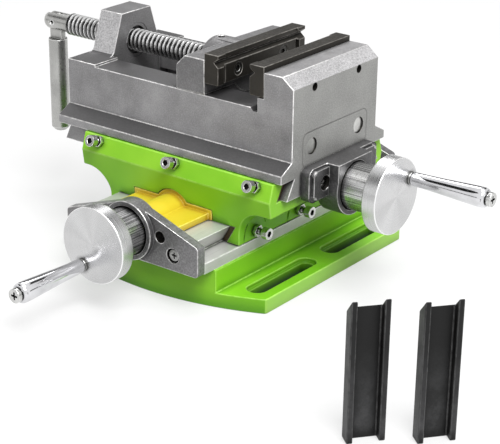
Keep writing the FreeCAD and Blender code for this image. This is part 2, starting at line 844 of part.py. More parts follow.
def pan_screw(length):
    """A screw along +Z: tip at 0, pan head with a cross recess at its end."""
    shank = rod(d.m5_radius, length - d.m5_head_height)
    head = rod(d.m5_head_radius, d.m5_head_height, length - d.m5_head_height)
    wide = d.m5_head_radius * 1.1
    slim = d.m5_head_radius * 0.28
    deep = d.m5_head_height * 0.5
    first = block((-wide / 2, -slim / 2, length - deep), (wide, slim, deep + 1))
    second = block((-slim / 2, -wide / 2, length - deep), (slim, wide, deep + 1))
    return cut(fuse([shank, head]), fuse([first, second]))


def build_bracket_screws():
    seat = d.bracket_thickness - d.counterbore_depth
    length = d.bracket_screw_length
    out = seat + d.m5_head_height + d.seat_gap
    groups = (("front_bracket_screws", -d.slideway_front - out, TO_FRONT, -1),
              ("rear_bracket_screws", d.slideway_rear + out, TO_REAR, 1))
    for label, head_end, rotation, direction in groups:
        screws = []
        for side in (-1, 1):
            start = head_end - direction * length
            base = (side * d.bracket_screw_x, start, d.bracket_screw_height)
            screws.append(move(pan_screw(length), base, rotation))
        keep(group(screws, label))
    screws = []
    for side in (-1, 1):
        base = (d.vise_right + out - length, d.saddle_y + side * d.upper_bracket_screw_y,
                d.upper_bracket_screw_height)
        screws.append(move(pan_screw(length), base, TO_RIGHT))
    keep(group(screws, "upper_bracket_screws"))


def build_upper_bracket():
    bracket = Casting("upper_screw_bracket")
    y = d.saddle_y
    low = d.vise_right
    plate = box_corners(y - d.upper_bracket_half, d.upper_bracket_bottom,
                        y + d.upper_bracket_half, d.upper_bracket_top)
    bracket.loop("YZ", plate, low, low + d.bracket_thickness)

    def plate_corner(middle, edge):
        return near(abs(middle.y - y.value), d.upper_bracket_half) and near(abs(edge.tangentAt(0).x), 1)

    bracket.soften(d.upper_bracket_round, plate_corner)
    boss = box_corners(y - d.upper_boss_half, d.upper_axis_height, y + d.upper_boss_half, d.upper_bracket_top)
    bracket.loop("YZ", boss, low, upper_boss_face)
    axis = (y, d.upper_axis_height)
    bracket.disc("YZ", axis, ring_radius, low, upper_boss_face)
    bracket.disc("YZ", axis, dial_bore_radius, upper_boss_face - d.dial_recess, upper_boss_face, cut=True)
    bracket.disc("YZ", axis, d.journal_radius + d.running_gap, low, upper_boss_face, cut=True)
    plate_face = low + d.bracket_thickness
    outer = plate_face + d.upper_bracket_pad_height
    for side in (-1, 1):
        middle = y + side * d.upper_bracket_screw_y
        pad_low = d.upper_bracket_bottom + d.upper_bracket_pad_bottom
        pad_high = d.upper_axis_height + d.upper_bracket_pad_top
        pad = box_corners(middle - d.upper_bracket_pad_half, pad_low,
                          middle + d.upper_bracket_pad_half, pad_high)
        bracket.loop("YZ", pad, low, outer)
        place = (middle, d.upper_bracket_screw_height)
        bracket.disc("YZ", place, d.m5_radius + d.seat_gap, low, outer, cut=True)
        bracket.disc("YZ", place, d.counterbore_radius, plate_face - d.counterbore_depth, outer, cut=True)
    keep(bracket.body)


def build_lead_screws():
    """Each screw has a plain journal that runs out through its bracket to the handwheel."""
    wheel_seat = d.dial_length + d.wheel_thickness - 3
    lower_front = lower_bracket_back + 1
    thread = d.slideway_front + d.slideway_rear - 2
    journal = wheel_seat + d.lower_ring_height + d.bracket_thickness + 1
    lower = fuse([rod(d.lead_radius, thread), rod(d.journal_radius, journal, -journal),
                  rod(d.journal_radius, d.bracket_thickness, thread)], "lower_lead_screw")
    keep(move(lower, (0, lower_front, d.lower_axis_height), TO_REAR))
    thread = d.vise_right + d.vise_left - 6
    journal = wheel_seat + d.upper_boss_height + d.bracket_thickness + 1
    upper = fuse([rod(d.lead_radius, thread, -thread), rod(d.journal_radius, journal)], "upper_lead_screw")
    keep(move(upper, (d.vise_right - 1, d.saddle_y, d.upper_axis_height), TO_RIGHT))


def build_lead_nuts():
    """Bronze nuts fixed in the saddle: the lower one hangs in the slideway's channel."""
    half = d.nut_channel_half - 1
    long = d.lead_nut_half_length - d.seat_gap
    nut_y = d.saddle_y + d.lead_nut_place
    top = saddle_under + d.screw_tunnel_radius + 1 - d.seat_gap
    bottom = d.nut_channel_floor + 4
    nut = Casting("lower_lead_nut")
    nut.loop("XY", box_corners(-half, nut_y - long, half, nut_y + long), bottom, top)
    axis = (0, d.lower_axis_height)
    bore = d.lead_radius + d.running_gap
    nut.disc("XZ", axis, bore, nut_y - long, nut_y + long, cut=True)
    nut.disc("XY", (0, nut_y), d.m5_radius + d.seat_gap, top - 4, top, cut=True)
    keep(nut.body)
    length = saddle_floor - 0.5 - (top - 4)
    screw = move(pan_screw(length), (0, nut_y, top - 4 + 0.2), UPRIGHT)
    keep(rename(screw, "lower_nut_screw"))
    nut = Casting("upper_lead_nut")
    floor = saddle_floor - d.screw_groove_depth
    half = d.screw_groove_half - d.seat_gap
    ends = (d.lead_nut_place - long, d.lead_nut_place + long)
    ceiling = d.vise_screw_groove_top - 1.5
    outline = box_corners(d.saddle_y - half, floor + d.seat_gap, d.saddle_y + half, ceiling)
    nut.loop("YZ", outline, *ends)
    nut.disc("XY", (d.lead_nut_place, d.saddle_y), d.nut_stem_radius, floor - d.nut_stem_length + 0.5,
             floor + 1)
    nut.disc("YZ", (d.saddle_y, d.upper_axis_height), bore, *ends, cut=True)
    keep(nut.body)


def build_crank(prefix, rotation, origin, grip_angle):
    """Dial, handwheel and revolving grip on one axis; the origin is the bracket's outer face."""
    dial = cut(rod(d.dial_radius, d.dial_length + d.dial_recess - 0.4, -d.dial_recess + 0.4),
               rod(d.journal_radius + d.seat_gap, 3 * d.dial_length, -d.dial_length), prefix + "_dial")
    keep(move(dial, origin, rotation))
    wheel_face = d.dial_length + d.wheel_thickness
    wheel = Casting(prefix + "_handwheel")
    wheel.disc("XY", (0, 0), d.wheel_radius, d.dial_length, wheel_face)

    def rim(middle, edge):
        return near(math.hypot(middle.x, middle.y), d.wheel_radius) and len(edge.Vertexes) == 1

    wheel.soften(d.wheel_edge, rim)
    seat = wheel_face - 3 + d.seat_gap
    wheel.disc("XY", (0, 0), d.journal_radius + d.seat_gap, d.dial_length, seat, cut=True)
    across = d.grip_offset * cosine(grip_angle)
    up = d.grip_offset * sine(grip_angle)
    pin = d.spindle_radius + d.seat_gap
    wheel.disc("XY", (across, up), pin, wheel_face - d.wheel_thickness + 2, wheel_face, cut=True)
    keep(move(wheel.body, origin, rotation))
    collar = wheel_face + d.spindle_collar_height
    grip_start = collar + 0.3
    grip_end = grip_start + d.grip_length
    spindle = fuse([rod(d.spindle_radius, grip_end + 0.3 - d.dial_length - 2.5, d.dial_length + 2.5),
                    rod(d.spindle_collar_radius, d.spindle_collar_height, wheel_face)])
    hole = rod(d.m5_radius * 0.6 + d.seat_gap, d.end_screw_reach + 2, grip_end - d.end_screw_reach)
    spindle = cut(spindle, hole, prefix + "_grip_spindle")
    grip = cut(cone(d.grip_start_radius, d.grip_end_radius, d.grip_length, grip_start),
               rod(d.spindle_radius + d.running_gap, 2 * d.grip_length, grip_start - 5), prefix + "_grip")
    washer_base = grip_end + 0.3
    bore = rod(d.m5_radius * 0.6 + d.seat_gap, 3 * d.end_washer_height, washer_base - d.end_washer_height)
    washer = cut(rod(d.end_washer_radius, d.end_washer_height, washer_base), bore, prefix + "_grip_washer")
    head_base = washer_base + d.end_washer_height
    wide = d.end_screw_radius * 1.1
    slim = d.end_screw_radius * 0.28
    deep = d.end_screw_height * 0.5
    top = head_base + d.end_screw_height
    recess = fuse([block((-wide / 2, -slim / 2, top - deep), (wide, slim, deep + 1)),
                   block((-slim / 2, -wide / 2, top - deep), (slim, wide, deep + 1))])
    screw = fuse([rod(d.end_screw_radius, d.end_screw_height, head_base),
                  rod(d.m5_radius * 0.6, d.end_screw_reach, head_base - d.end_screw_reach)])
    screw = cut(screw, recess, prefix + "_grip_screw")
    for piece in (spindle, grip, washer, screw):
        keep(offset_on_wheel(piece, origin, rotation, across, up))


def offset_on_wheel(item, origin, rotation, across, up):
    """Shift a piece from the wheel's axis to the grip's, in the wheel's own plane."""
    right = rotation.multVec(Vector(1, 0, 0))
    above = rotation.multVec(Vector(0, 1, 0))
    base = []
    for letter, start in zip("xyz", origin):
        shift = getattr(right, letter) * across + getattr(above, letter) * up
        base.append(as_size(start) + shift)
    return move(item, base, rotation)


def build_vise_body():
    body = Casting("vise_body")
    y = d.saddle_y
    neck = vise_half_at(d.vise_underside)
    right_side = [(d.vise_dovetail_half, dovetail_bottom), (neck, d.vise_underside),
                  (d.flange_half, d.vise_underside), (d.flange_half, d.vise_underside + d.flange_edge),
                  (d.rail_half, d.flange_slope_top), (d.rail_half, d.rail_top)]
    section = [(y + half, height) for half, height in right_side]
    section += [(y - half, height) for half, height in right_side[::-1]]
    body.loop("YZ", section, -d.vise_left, d.vise_right)
    rail_root = d.rail_top - 5
    jaw = [(d.fixed_jaw_web, rail_root), (d.vise_right, rail_root),
           (d.vise_right, d.jaw_top - d.jaw_chamfer_drop), (d.vise_right - d.jaw_chamfer_run, d.jaw_top),
           (d.fixed_jaw_face, d.jaw_top), (d.fixed_jaw_face, d.seat_height), (d.fixed_jaw_web, d.seat_height)]
    body.loop("XZ", jaw, y - d.rail_half, y + d.rail_half)
    tower_back = -d.vise_left + d.tower_setback
    tower_front = tower_back + d.tower_thickness
    pad_top = d.rail_top + d.tower_pad_height
    pad = box_corners(y - d.rail_half, rail_root, y + d.rail_half, pad_top)
    body.loop("YZ", pad, -d.vise_left, -d.vise_left + d.tower_pad_length)
    tower = [(y - d.tower_foot_half, pad_top), (y + d.tower_foot_half, pad_top),
             (y + d.tower_top_half, d.tower_top), (y - d.tower_top_half, d.tower_top)]
    body.loop("YZ", tower, tower_back, tower_front)

    def tower_foot(middle, edge):
        along = near(abs(edge.tangentAt(0).x), 1) if edge.Curve.TypeId == "Part::GeomLine" else False
        return along and near(middle.z, pad_top) and near(abs(middle.y - y.value), d.tower_foot_half)

    body.soften(d.tower_foot_round, tower_foot)
    bed = box_corners(y - d.bed_half, d.bed_ceiling, y + d.bed_half, pad_top + 1)
    body.loop("YZ", bed, tower_front, d.fixed_jaw_web, cut=True)
    pocket = box_corners(y - d.bed_pocket_half, d.bed_floor, y + d.bed_pocket_half, d.bed_ceiling)
    body.loop("YZ", pocket, tower_front, d.fixed_jaw_web - 3, cut=True)
    relief = [(d.relief_start, d.rail_top), (d.relief_start + d.relief_depth, d.rail_top - d.relief_depth),
              (d.fixed_jaw_web, d.rail_top - d.relief_depth), (d.fixed_jaw_web, d.rail_top + 1),
              (d.relief_start, d.rail_top + 1)]
    body.loop("XZ", relief, y - d.rail_half, y + d.rail_half, cut=True)
    groove = box_corners(y - d.vise_screw_groove_half, dovetail_bottom, y + d.vise_screw_groove_half,
                         d.vise_screw_groove_top)
    body.loop("YZ", groove, -d.vise_left, d.vise_right, cut=True)
    bore = (y, d.clamp_height)
    body.disc("YZ", bore, d.clamp_radius + d.running_gap, -d.vise_left, tower_front, cut=True)
    for rim, depth in ((d.bore_relief_rim, d.bore_relief_depth), (d.spot_face_rim, d.spot_face_depth)):
        body.disc("YZ", bore, d.clamp_radius + rim, tower_front - depth, tower_front, cut=True)
    for side in (-1, 1):
        plug = (y + side * d.plug_spacing_half, d.plug_height)
        body.disc("YZ", plug, d.plug_radius + d.seat_gap, d.vise_right - d.plug_depth, d.vise_right, cut=True)
        hole = (y + side * d.plate_screw_half, d.plate_screw_height)
        body.disc("YZ", hole, d.plate_screw_radius + d.seat_gap, d.fixed_jaw_face, d.vise_right, cut=True)
        hole = (y + side * d.upper_bracket_screw_y, d.upper_bracket_screw_height)
        depth = d.bracket_screw_length - d.bracket_thickness + d.counterbore_depth + 1
        body.disc("YZ", hole, d.m5_radius + d.seat_gap, d.vise_right - depth, d.vise_right, cut=True)
    keep(body.body)
    plugs = []
    for side in (-1, 1):
        base = (d.vise_right - d.plug_depth + d.seat_gap, y + side * d.plug_spacing_half, d.plug_height)
        plugs.append(move(rod(d.plug_radius, d.plug_depth - d.plug_recess), base, TO_RIGHT))
    keep(group(plugs, "end_plugs"))


def build_jaw_plate(label, back, direction):
    """A hardened plate with V grooves; direction is the way that its gripping face looks, in X."""
    plate = Casting(label)
    y = d.saddle_y
    face = back + direction * d.plate_thickness
    top = d.plate_floor + d.plate_height
    lip = top - d.plate_lip
    groove_end = lip - d.plate_groove_width
    valley = face - direction * d.plate_groove_depth
    outline = [(back, d.plate_floor), (back, top), (face, top), (face, lip),
               (valley, lip - d.plate_groove_width * 0.45), (face, groove_end), (face, d.plate_floor)]
    corners = outline if direction > 0 else outline[::-1]
    corners = corners[::-1]
    plate.loop("XZ", corners, y - d.rail_half, y + d.rail_half)
    middle_half = d.rail_half - d.plate_pad_length
    recess_floor = face - direction * d.plate_recess
    left, right = (recess_floor, face + 1) if direction > 0 else (face - 1, recess_floor)
    plate.loop("XZ", box_corners(left, d.plate_floor, right, top), y - middle_half, y + middle_half, cut=True)
    notch_floor = face - direction * (d.plate_recess + 2)
    for side in (-1, 1):
        edge = y + side * middle_half
        notch = [(face + direction, edge - 2), (face + direction, edge + 2), (recess_floor, edge + 1.5),
                 (notch_floor, edge), (recess_floor, edge - 1.5)]
        corners = notch if direction > 0 else notch[::-1]
        plate.loop("XY", corners, d.plate_floor, groove_end, cut=True)
        place = (y + side * d.plate_screw_half, d.plate_screw_height)
        low, high = (back, face) if direction > 0 else (face, back)
        plate.disc("YZ", place, d.plate_screw_radius + d.seat_gap, low, high, cut=True)
        bore_floor = recess_floor - direction * d.plate_screw_head_depth
        low, high = (bore_floor, face) if direction > 0 else (face, bore_floor)
        plate.disc("YZ", place, d.plate_screw_head_radius + d.seat_gap, low, high, cut=True)
    keep(plate.body)
    head_top = recess_floor - direction * 0.5
    length = d.plate_thickness + 6
    screws = []
    for side in (-1, 1):
        shank = rod(d.plate_screw_radius, length)
        head_length = d.plate_screw_head_depth - 0.55
        head = rod(d.plate_screw_head_radius, head_length, length - head_length)
        socket = hexagon(d.plate_screw_radius * 0.9, 2, length - 1.5)
        screw = cut(fuse([shank, head]), socket)
        base = (head_top - direction * length, y + side * d.plate_screw_half, d.plate_screw_height)
        screws.append(move(screw, base, TO_RIGHT if direction > 0 else TO_LEFT))
    keep(group(screws, label + "_screws"))


def build_moving_jaw():
    jaw = Casting("moving_jaw")
    y = d.saddle_y
    floor = d.rail_top + d.jaw_lift
    profile = [(d.jaw_back, floor), (d.jaw_front, floor), (d.jaw_front, d.moving_jaw_top),
               (d.jaw_back + d.moving_jaw_chamfer, d.moving_jaw_top),
               (d.jaw_back, d.moving_jaw_top - d.moving_jaw_chamfer)]
    jaw.loop("XZ", profile, y - d.rail_half, y + d.rail_half)
    tongue_half = d.bed_half - d.face_gap
    tongue = box_corners(d.jaw_back + 1, y - tongue_half, d.jaw_front - 1, y + tongue_half)
    tongue_floor = d.bed_ceiling - 0.3
    jaw.loop("XY", tongue, tongue_floor, floor + 1)
    jaw.disc("YZ", (y, d.clamp_height), d.boss_radius, d.boss_back, d.jaw_front)

    def boss_rim(middle, edge):
        centre = Vector(d.boss_back.value, y.value, d.clamp_height.value)
        return near(middle.x, d.boss_back) and near((middle - centre).Length, d.boss_radius)

    jaw.soften(d.boss_round, boss_rim)
    nose = d.clamp_nose_radius + d.running_gap
    jaw.disc("YZ", (y, d.clamp_height), nose, d.boss_back, d.clamp_nose_end + 0.5, cut=True)
    pin = d.jaw_pin_radius + d.seat_gap
    top = d.clamp_height + d.boss_radius
    jaw.disc("XY", (d.jaw_pin_x, y), pin, d.clamp_height, top + 1, cut=True)
    for side in (-1, 1):
        place = (y + side * d.plate_screw_half, d.plate_screw_height)
        jaw.disc("YZ", place, d.plate_screw_radius + d.seat_gap, d.jaw_front - 10, d.jaw_front, cut=True)
        bolt = (jaw_middle(), y + side * d.keeper_bolt_half)
        bolt_top = tongue_floor + d.keeper_bolt_reach + 1
        jaw.disc("XY", bolt, d.keeper_bolt_radius + d.seat_gap, tongue_floor, bolt_top, cut=True)
    keep(jaw.body)
    pin_foot = d.clamp_height + d.clamp_nose_radius - 1.5
    retainer = move(rod(d.jaw_pin_radius, top - 2.5 - pin_foot), (d.jaw_pin_x, y, pin_foot), UPRIGHT)
    keep(rename(retainer, "jaw_retaining_pin"))
    build_keeper(tongue_floor)


def jaw_middle():
    return (d.jaw_back + d.jaw_front) / 2


def build_keeper(tongue_floor):
    """The plate under the rails that holds the moving jaw down, and its two bolts."""
    keeper = Casting("keeper_plate")
    y = d.saddle_y
    outline = box_corners(d.jaw_back + 2, y - d.keeper_half, d.jaw_front - 2, y + d.keeper_half)
    low = tongue_floor - d.keeper_thickness
    keeper.loop("XY", outline, low, tongue_floor)
    bolts = []
    for side in (-1, 1):
        place = (jaw_middle(), y + side * d.keeper_bolt_half)
        keeper.disc("XY", place, d.keeper_bolt_radius + d.seat_gap, low, tongue_floor, cut=True)
        shank = rod(d.keeper_bolt_radius, d.keeper_thickness + d.keeper_bolt_reach)
        head = hexagon(d.keeper_bolt_radius * 1.8, d.keeper_bolt_head, -d.keeper_bolt_head)
        bolts.append(move(fuse([shank, head]), (place[0], place[1], low - d.seat_gap), UPRIGHT))
    keep(keeper.body)
    keep(group(bolts, "keeper_bolts"))


def build_clamp_screw():
    """The screw and its forked hub, and the bar whose flat tongue swings on a pin in the fork."""
    y = d.saddle_y
    thread_end = d.boss_back - 1
    hub_end = d.hub_start + d.hub_length
    screw = Casting("clamp_screw")
    axis = (y, d.clamp_height)
    screw.disc("YZ", axis, d.hub_radius, d.hub_start, hub_end)

    def hub_rim(middle, edge):
        return near(middle.x, d.hub_start)

    screw.soften(d.hub_round, hub_rim)
    screw.disc("YZ", axis, d.clamp_radius, hub_end, thread_end)
    screw.disc("YZ", axis, d.clamp_nose_radius, thread_end, d.clamp_nose_end)
    # The nose has a groove for the retaining pin.
    groove_half = d.jaw_pin_radius + 0.3
    depth = 1.8
    groove_face = d.clamp_nose_radius - depth
    bind_ring(screw, axis, groove_face, d.jaw_pin_x - groove_half, d.jaw_pin_x + groove_half)
    top = d.clamp_height + d.hub_radius
    low = d.clamp_height - d.hub_radius
    half = d.tongue_thickness / 2 + d.fork_gap
    fork_end = d.bar_x + d.tongue_half + d.fork_end_gap
    screw.loop("XY", box_corners(d.hub_start - 1, y - half, fork_end, y + half), low, top, cut=True)
    pin_hole = (d.bar_x, d.clamp_height)
    screw.disc("XZ", pin_hole, d.bar_pin_radius + d.seat_gap, y - d.hub_radius, y + d.hub_radius, cut=True)
    keep(screw.body)
    thick = d.tongue_thickness
    wide = 2 * d.tongue_half
    tongue = block((-wide / 2, -thick / 2, d.bar_shoulder), (wide, thick, d.bar_shoulder_drop))
    eye = move(rod(wide / 2, thick), (0, -thick / 2, d.clamp_height), TO_REAR)
    nose_top = d.bar_end + d.bar_nose_length
    shaft = rod(d.bar_radius, d.bar_shoulder - nose_top, nose_top)
    nose = cone(d.bar_radius * 0.6, d.bar_radius, d.bar_nose_length, d.bar_end)
    hole = rod(d.bar_pin_radius + d.running_gap, thick + 2)
    hole = move(hole, (0, -thick / 2 - 1, d.clamp_height), TO_REAR)
    bar = cut(fuse([tongue, eye, shaft, nose]), hole, "clamp_bar")
    keep(move(bar, (d.bar_x, y, 0), UPRIGHT))
    long = 2 * (d.hub_radius - 0.4)
    socket = hexagon(d.bar_pin_radius * 0.6, 3, long - 2)
    pin = move(cut(rod(d.bar_pin_radius, long), socket), (d.bar_x, y + long / 2, d.clamp_height), TO_FRONT)
    keep(rename(pin, "bar_pin"))


def bind_ring(casting, axis, inner, low, high):
    """Cut a square groove round a shaft that lies along X."""
    drawing = casting.sketch("YZ", low, high)
    middle = Vector(as_size(axis[0]).value, as_size(axis[1]).value, 0)
    for radius in (inner, d.clamp_nose_radius + 1):
        edge = drawing.addGeometry(Part.Circle(middle, Vector(0, 0, 1), radius.value))
        fix_point(drawing, edge, 3, axis)
        fix_radius(drawing, edge, radius)
    casting.extrude(drawing, low, high, cut=True)


def build_pads():
    """Two rubber jaw pads: a channel section, stood on end beside the vise, its top end cut aslant."""
    half = d.pad_width / 2
    inner = half - d.pad_lip
    outline = [(-half, 0), (half, 0), (half, -d.pad_depth), (inner, -d.pad_depth), (inner, -d.pad_web),
               (-inner, -d.pad_web), (-inner, -d.pad_depth), (-half, -d.pad_depth)]
    slant = [(-d.pad_depth - 1, d.pad_length + 1), (1, d.pad_length - d.pad_depth - 1), (1, d.pad_length + 1)]
    for label, step in (("left_jaw_pad", 0), ("right_jaw_pad", 1)):
        pad = Casting(label)
        pad.loop("XY", outline[::-1], 0, d.pad_length)
        pad.loop("YZ", slant, -half - 1, half + 1, cut=True)
        x = d.pad_x + step * d.pad_spacing * cosine(d.pad_row_angle)
        y = d.pad_y + step * d.pad_spacing * sine(d.pad_row_angle)
        move(pad.body, (x, y, 0), Rotation(Vector(0, 0, 1), 1))
        bind(pad.body, "Placement.Rotation.Angle", d.pad_angle)
        keep(pad.body)


build_base()
build_saddle()
build_cover()
build_gibs()
build_gib_hardware()
build_lower_bracket("front_screw_bracket", lower_bracket_back, ring=True)
build_lower_bracket("rear_screw_bracket", d.slideway_rear, ring=False)
build_upper_bracket()
build_bracket_screws()
build_lead_screws()
build_lead_nuts()
build_crank("lower", TO_FRONT, (as_size(0), lower_ring_face, d.lower_axis_height), d.lower_grip_angle)
build_crank("upper", TO_RIGHT, (upper_boss_face, d.saddle_y, d.upper_axis_height), d.upper_grip_angle)
build_vise_body()
build_jaw_plate("fixed_jaw_plate", d.fixed_jaw_face, -1)
build_moving_jaw()
build_jaw_plate("moving_jaw_plate", d.jaw_front, 1)
build_clamp_screw()
build_pads()
doc.recompute()

for item in doc.Objects:
    if "Invalid" in item.State or "Error" in item.State:
        raise RuntimeError("%s (%s) failed: %s" % (item.Label, item.Name, item.State))
for item in doc.Objects:
    if item.TypeId == "PartDesign::Pocket":
        before = item.BaseFeature.Shape.Volume
        if item.Shape.Volume > before - 0.01:
            raise RuntimeError("a pocket of %s cuts nothing" % item.Name)
os.makedirs("parts", exist_ok=True)
for item in parts:
    shape = item.Shape
    if shape.isNull() or not shape.isValid():
        raise RuntimeError("%s has no valid shape" % item.Label)
    shape.exportStep("parts/%s.step" % item.Label)
    print(item.Label, len(shape.Solids), "solids", round(shape.Volume), "mm3")
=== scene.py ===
# %% [markdown]
# # Cross slide vise
# A drill press vise that stands on two crossed dovetail slides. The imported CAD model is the
# frame: every piece here is in its coordinates, and rides on one of its bodies.

# %% Load the frame
import bpy
import bmesh
import math
from mathutils import Matrix, Vector


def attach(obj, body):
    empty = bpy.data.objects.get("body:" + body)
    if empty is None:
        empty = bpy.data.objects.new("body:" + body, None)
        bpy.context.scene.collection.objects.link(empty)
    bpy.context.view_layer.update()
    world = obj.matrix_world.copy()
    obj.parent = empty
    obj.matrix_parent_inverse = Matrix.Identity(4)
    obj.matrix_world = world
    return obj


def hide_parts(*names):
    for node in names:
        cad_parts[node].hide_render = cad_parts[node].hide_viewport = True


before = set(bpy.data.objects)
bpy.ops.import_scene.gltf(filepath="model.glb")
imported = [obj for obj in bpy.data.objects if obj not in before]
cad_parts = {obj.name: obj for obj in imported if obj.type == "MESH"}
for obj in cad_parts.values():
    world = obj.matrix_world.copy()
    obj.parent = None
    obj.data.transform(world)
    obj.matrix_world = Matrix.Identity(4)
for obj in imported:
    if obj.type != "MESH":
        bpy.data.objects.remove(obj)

MM = 0.001
# The axes of the three screws, in millimetres. The upper two lie in the vise's middle plane.
AXIS_Y = -6
LOWER_Z, UPPER_Z, CLAMP_Z = 49, 76, 144
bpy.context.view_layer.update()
scene = bpy.context.scene

# %% [markdown]
# ## The camera
# The photograph was taken with a long lens from the front right, so parallel edges stay nearly
# parallel. A camera looks along its own -Z, so its matrix is built from the right, up and
# backward directions. A small roll leans it as the photographer's was.

# %% Place the camera
PHOTO_WIDTH, FOCAL_LENGTH = 500, 1598  # in pixels of the photograph
SENSOR_WIDTH = 36
CAMERA_PLACE = Vector((687.845, -879.186, 482.19))
azimuth = math.radians(37.42)
elevation = math.radians(22.64)
roll = math.radians(0.71)
back = Vector((math.sin(azimuth) * math.cos(elevation), -math.cos(azimuth) * math.cos(elevation),
               math.sin(elevation)))
right = Vector((math.cos(azimuth), math.sin(azimuth), 0))
up = back.cross(right)
leaned_right = right * math.cos(roll) + up * math.sin(roll)
leaned_up = up * math.cos(roll) - right * math.sin(roll)

lens = bpy.data.cameras.new("long_lens")
lens.sensor_width = SENSOR_WIDTH
lens.lens = FOCAL_LENGTH / PHOTO_WIDTH * SENSOR_WIDTH
camera = bpy.data.objects.new("camera", lens)
scene.collection.objects.link(camera)
turn = Matrix((leaned_right, leaned_up, back)).transposed().to_4x4()
camera.matrix_world = Matrix.Translation(CAMERA_PLACE * MM) @ turn
scene.camera = camera
print("camera distance in metres:", round(camera.location.length, 3))

# %% [markdown]
# ## Building materials from nodes
# Every finish starts from one Principled shader and the object's own coordinates in metres, so
# a noise scale of 700 makes grains of about 1.4 mm. Linked one by one, as in the editor, the
# nodes would hide the idea. With small helpers a finish reads like a recipe.


# %% Node helpers
def start_material(name, **constants):
    """A material with its Principled shader, whose plain values are set on its own sockets."""
    mat = bpy.data.materials.new(name)
    mat.use_nodes = True
    shader = mat.node_tree.nodes["Principled BSDF"]
    for socket, value in constants.items():
        shader.inputs[socket.replace("_", " ")].default_value = value
    return mat, shader


def wire(mat, target, value):
    """Connect an output to a socket, or set the socket to a number or colour."""
    if isinstance(value, bpy.types.NodeSocket):
        mat.node_tree.links.new(value, target)
    else:
        target.default_value = value


def set_finish(mat, shader, colour, roughness, normal=None):
    wire(mat, shader.inputs["Base Color"], colour)
    wire(mat, shader.inputs["Roughness"], roughness)
    if normal is not None:
        wire(mat, shader.inputs["Normal"], normal)


def grey(level):
    return (level, level, level, 1)


def add(mat, kind, inputs=None, **settings):
    """Add a node; inputs maps a socket's name or index to a value or another node's output."""
    node = mat.node_tree.nodes.new("ShaderNode" + kind)
    for key, value in settings.items():
        setattr(node, key, value)
    for key, value in (inputs or {}).items():
        wire(mat, node.inputs[key], value)
    return node


def place_of(mat):
    return add(mat, "TexCoord").outputs["Object"]


def math_of(mat, operation, first, second=0.0):
    return add(mat, "Math", {0: first, 1: second}, operation=operation).outputs[0]


def times(mat, first, second):
    return math_of(mat, "MULTIPLY", first, second)


def vector_of(mat, operation, first, second, output=0):
    return add(mat, "VectorMath", {0: first, 1: second}, operation=operation).outputs[output]


def spread(mat, value, low, high, to_low=0.0, to_high=1.0):
    """Map a value from low..high to another range, held inside it."""
    node = add(mat, "MapRange", {"Value": value, "From Min": low, "From Max": high,
                                 "To Min": to_low, "To Max": to_high})
    return node.outputs["Result"]


def grain(mat, where, scale, detail=3.0, roughness=0.55):
    return add(mat, "TexNoise", {"Vector": where, "Scale": scale, "Detail": detail,
                                 "Roughness": roughness}).outputs["Fac"]


# A Mix node has two sockets for each kind: 2 and 3 take numbers, 4 and 5 vectors, 6 and 7
# colours.
def blend_colours(mat, factor, first, second):
    """The first colour at a factor of 0, and the second at 1."""
    node = add(mat, "Mix", {"Factor": factor}, data_type="RGBA")
    wire(mat, node.inputs[6], first)
    wire(mat, node.inputs[7], second)
    return node.outputs[2]


def blend_numbers(mat, factor, first, second):
    return add(mat, "Mix", {0: factor, 2: first, 3: second}).outputs[0]


def dent(mat, height, distance, strength, under=None):
    """A bump whose height of 1 stands that many metres proud."""
    inputs = {"Height": height, "Distance": distance, "Strength": strength}
    if under is not None:
        inputs["Normal"] = under
    return add(mat, "Bump", inputs).outputs["Normal"]


# %% [markdown]
# ## Worn edges and dark corners
# Handling rubs the outer edges of a casting bright. Its corners get painted shade, a darker
# colour where shade falls. The bevels made further down carry a face attribute, edge_wear, which
# is 1 on outer edges and -1 in inner corners. Ambient occlusion finds the places close to another
# surface, where the shade is painted. Both only change the finish, never a shape.


# %% Wear and painted shade helpers
def outer_edge(mat):
    return spread(mat, add(mat, "Attribute", attribute_name="edge_wear").outputs["Fac"], 0.0, 1.0)


def openness(mat, reach, deepest=0.30, open_from=0.90):
    """0 in a crevice narrower than the reach in millimetres, 1 in the open: where shade is
    painted.
    """
    node = add(mat, "AmbientOcclusion", {"Distance": reach * MM}, samples=8)
    return spread(mat, node.outputs["AO"], deepest, open_from)


def chipped(mat, where, amount, scale=260):
    """The outer edges, broken up by two noises: a fine one, and one of whole stretches."""
    ragged = spread(mat, grain(mat, where, scale), 0.36, 0.56, amount * 0.35, amount)
    stretches = spread(mat, grain(mat, where, 38, 2), 0.34, 0.58, 0.45, 1.0)
    return times(mat, outer_edge(mat), times(mat, ragged, stretches))


# %% [markdown]
# ## Lime paint
# The base and the saddle are iron castings under thick lime paint. Sprayed paint is never
# flat: it keeps an orange peel of about a millimetre over the softer waves of the sand casting,
# and its gloss varies a little. Two noises of different scales do that. Paint draws back from
# sharp edges, so they show paler. Its corners get painted shade, LIME_SHADE, where shade falls.

# %% Lime paint
LIME = (0.285, 0.635, 0.030, 1)
LIME_DEEP = (0.185, 0.510, 0.012, 1)
LIME_THIN_AND_LIT = (0.46, 0.76, 0.17, 1)
LIME_SHADE = (0.045, 0.160, 0.003, 1)
PAINT_SPECULAR = 0.35


def paint_layers(mat, where):
    """Colour, roughness and normal of paint on a sand casting."""
    peel = grain(mat, where, 750, 2)
    waves = grain(mat, where, 70)
    cloud = grain(mat, where, 14, 2)
    colour = blend_colours(mat, spread(mat, cloud, 0.35, 0.68), LIME, LIME_DEEP)
    # painted shade: the paint turns dark where other surfaces close in
    colour = blend_colours(mat, openness(mat, 9, 0.36), LIME_SHADE, colour)
    colour = blend_colours(mat, chipped(mat, where, 0.42), colour, LIME_THIN_AND_LIT)
    gloss = spread(mat, waves, 0.3, 0.7, 0.34, 0.46)
    normal = dent(mat, peel, 0.00012, 0.35, dent(mat, waves, 0.0006, 0.5))
    return colour, gloss, normal


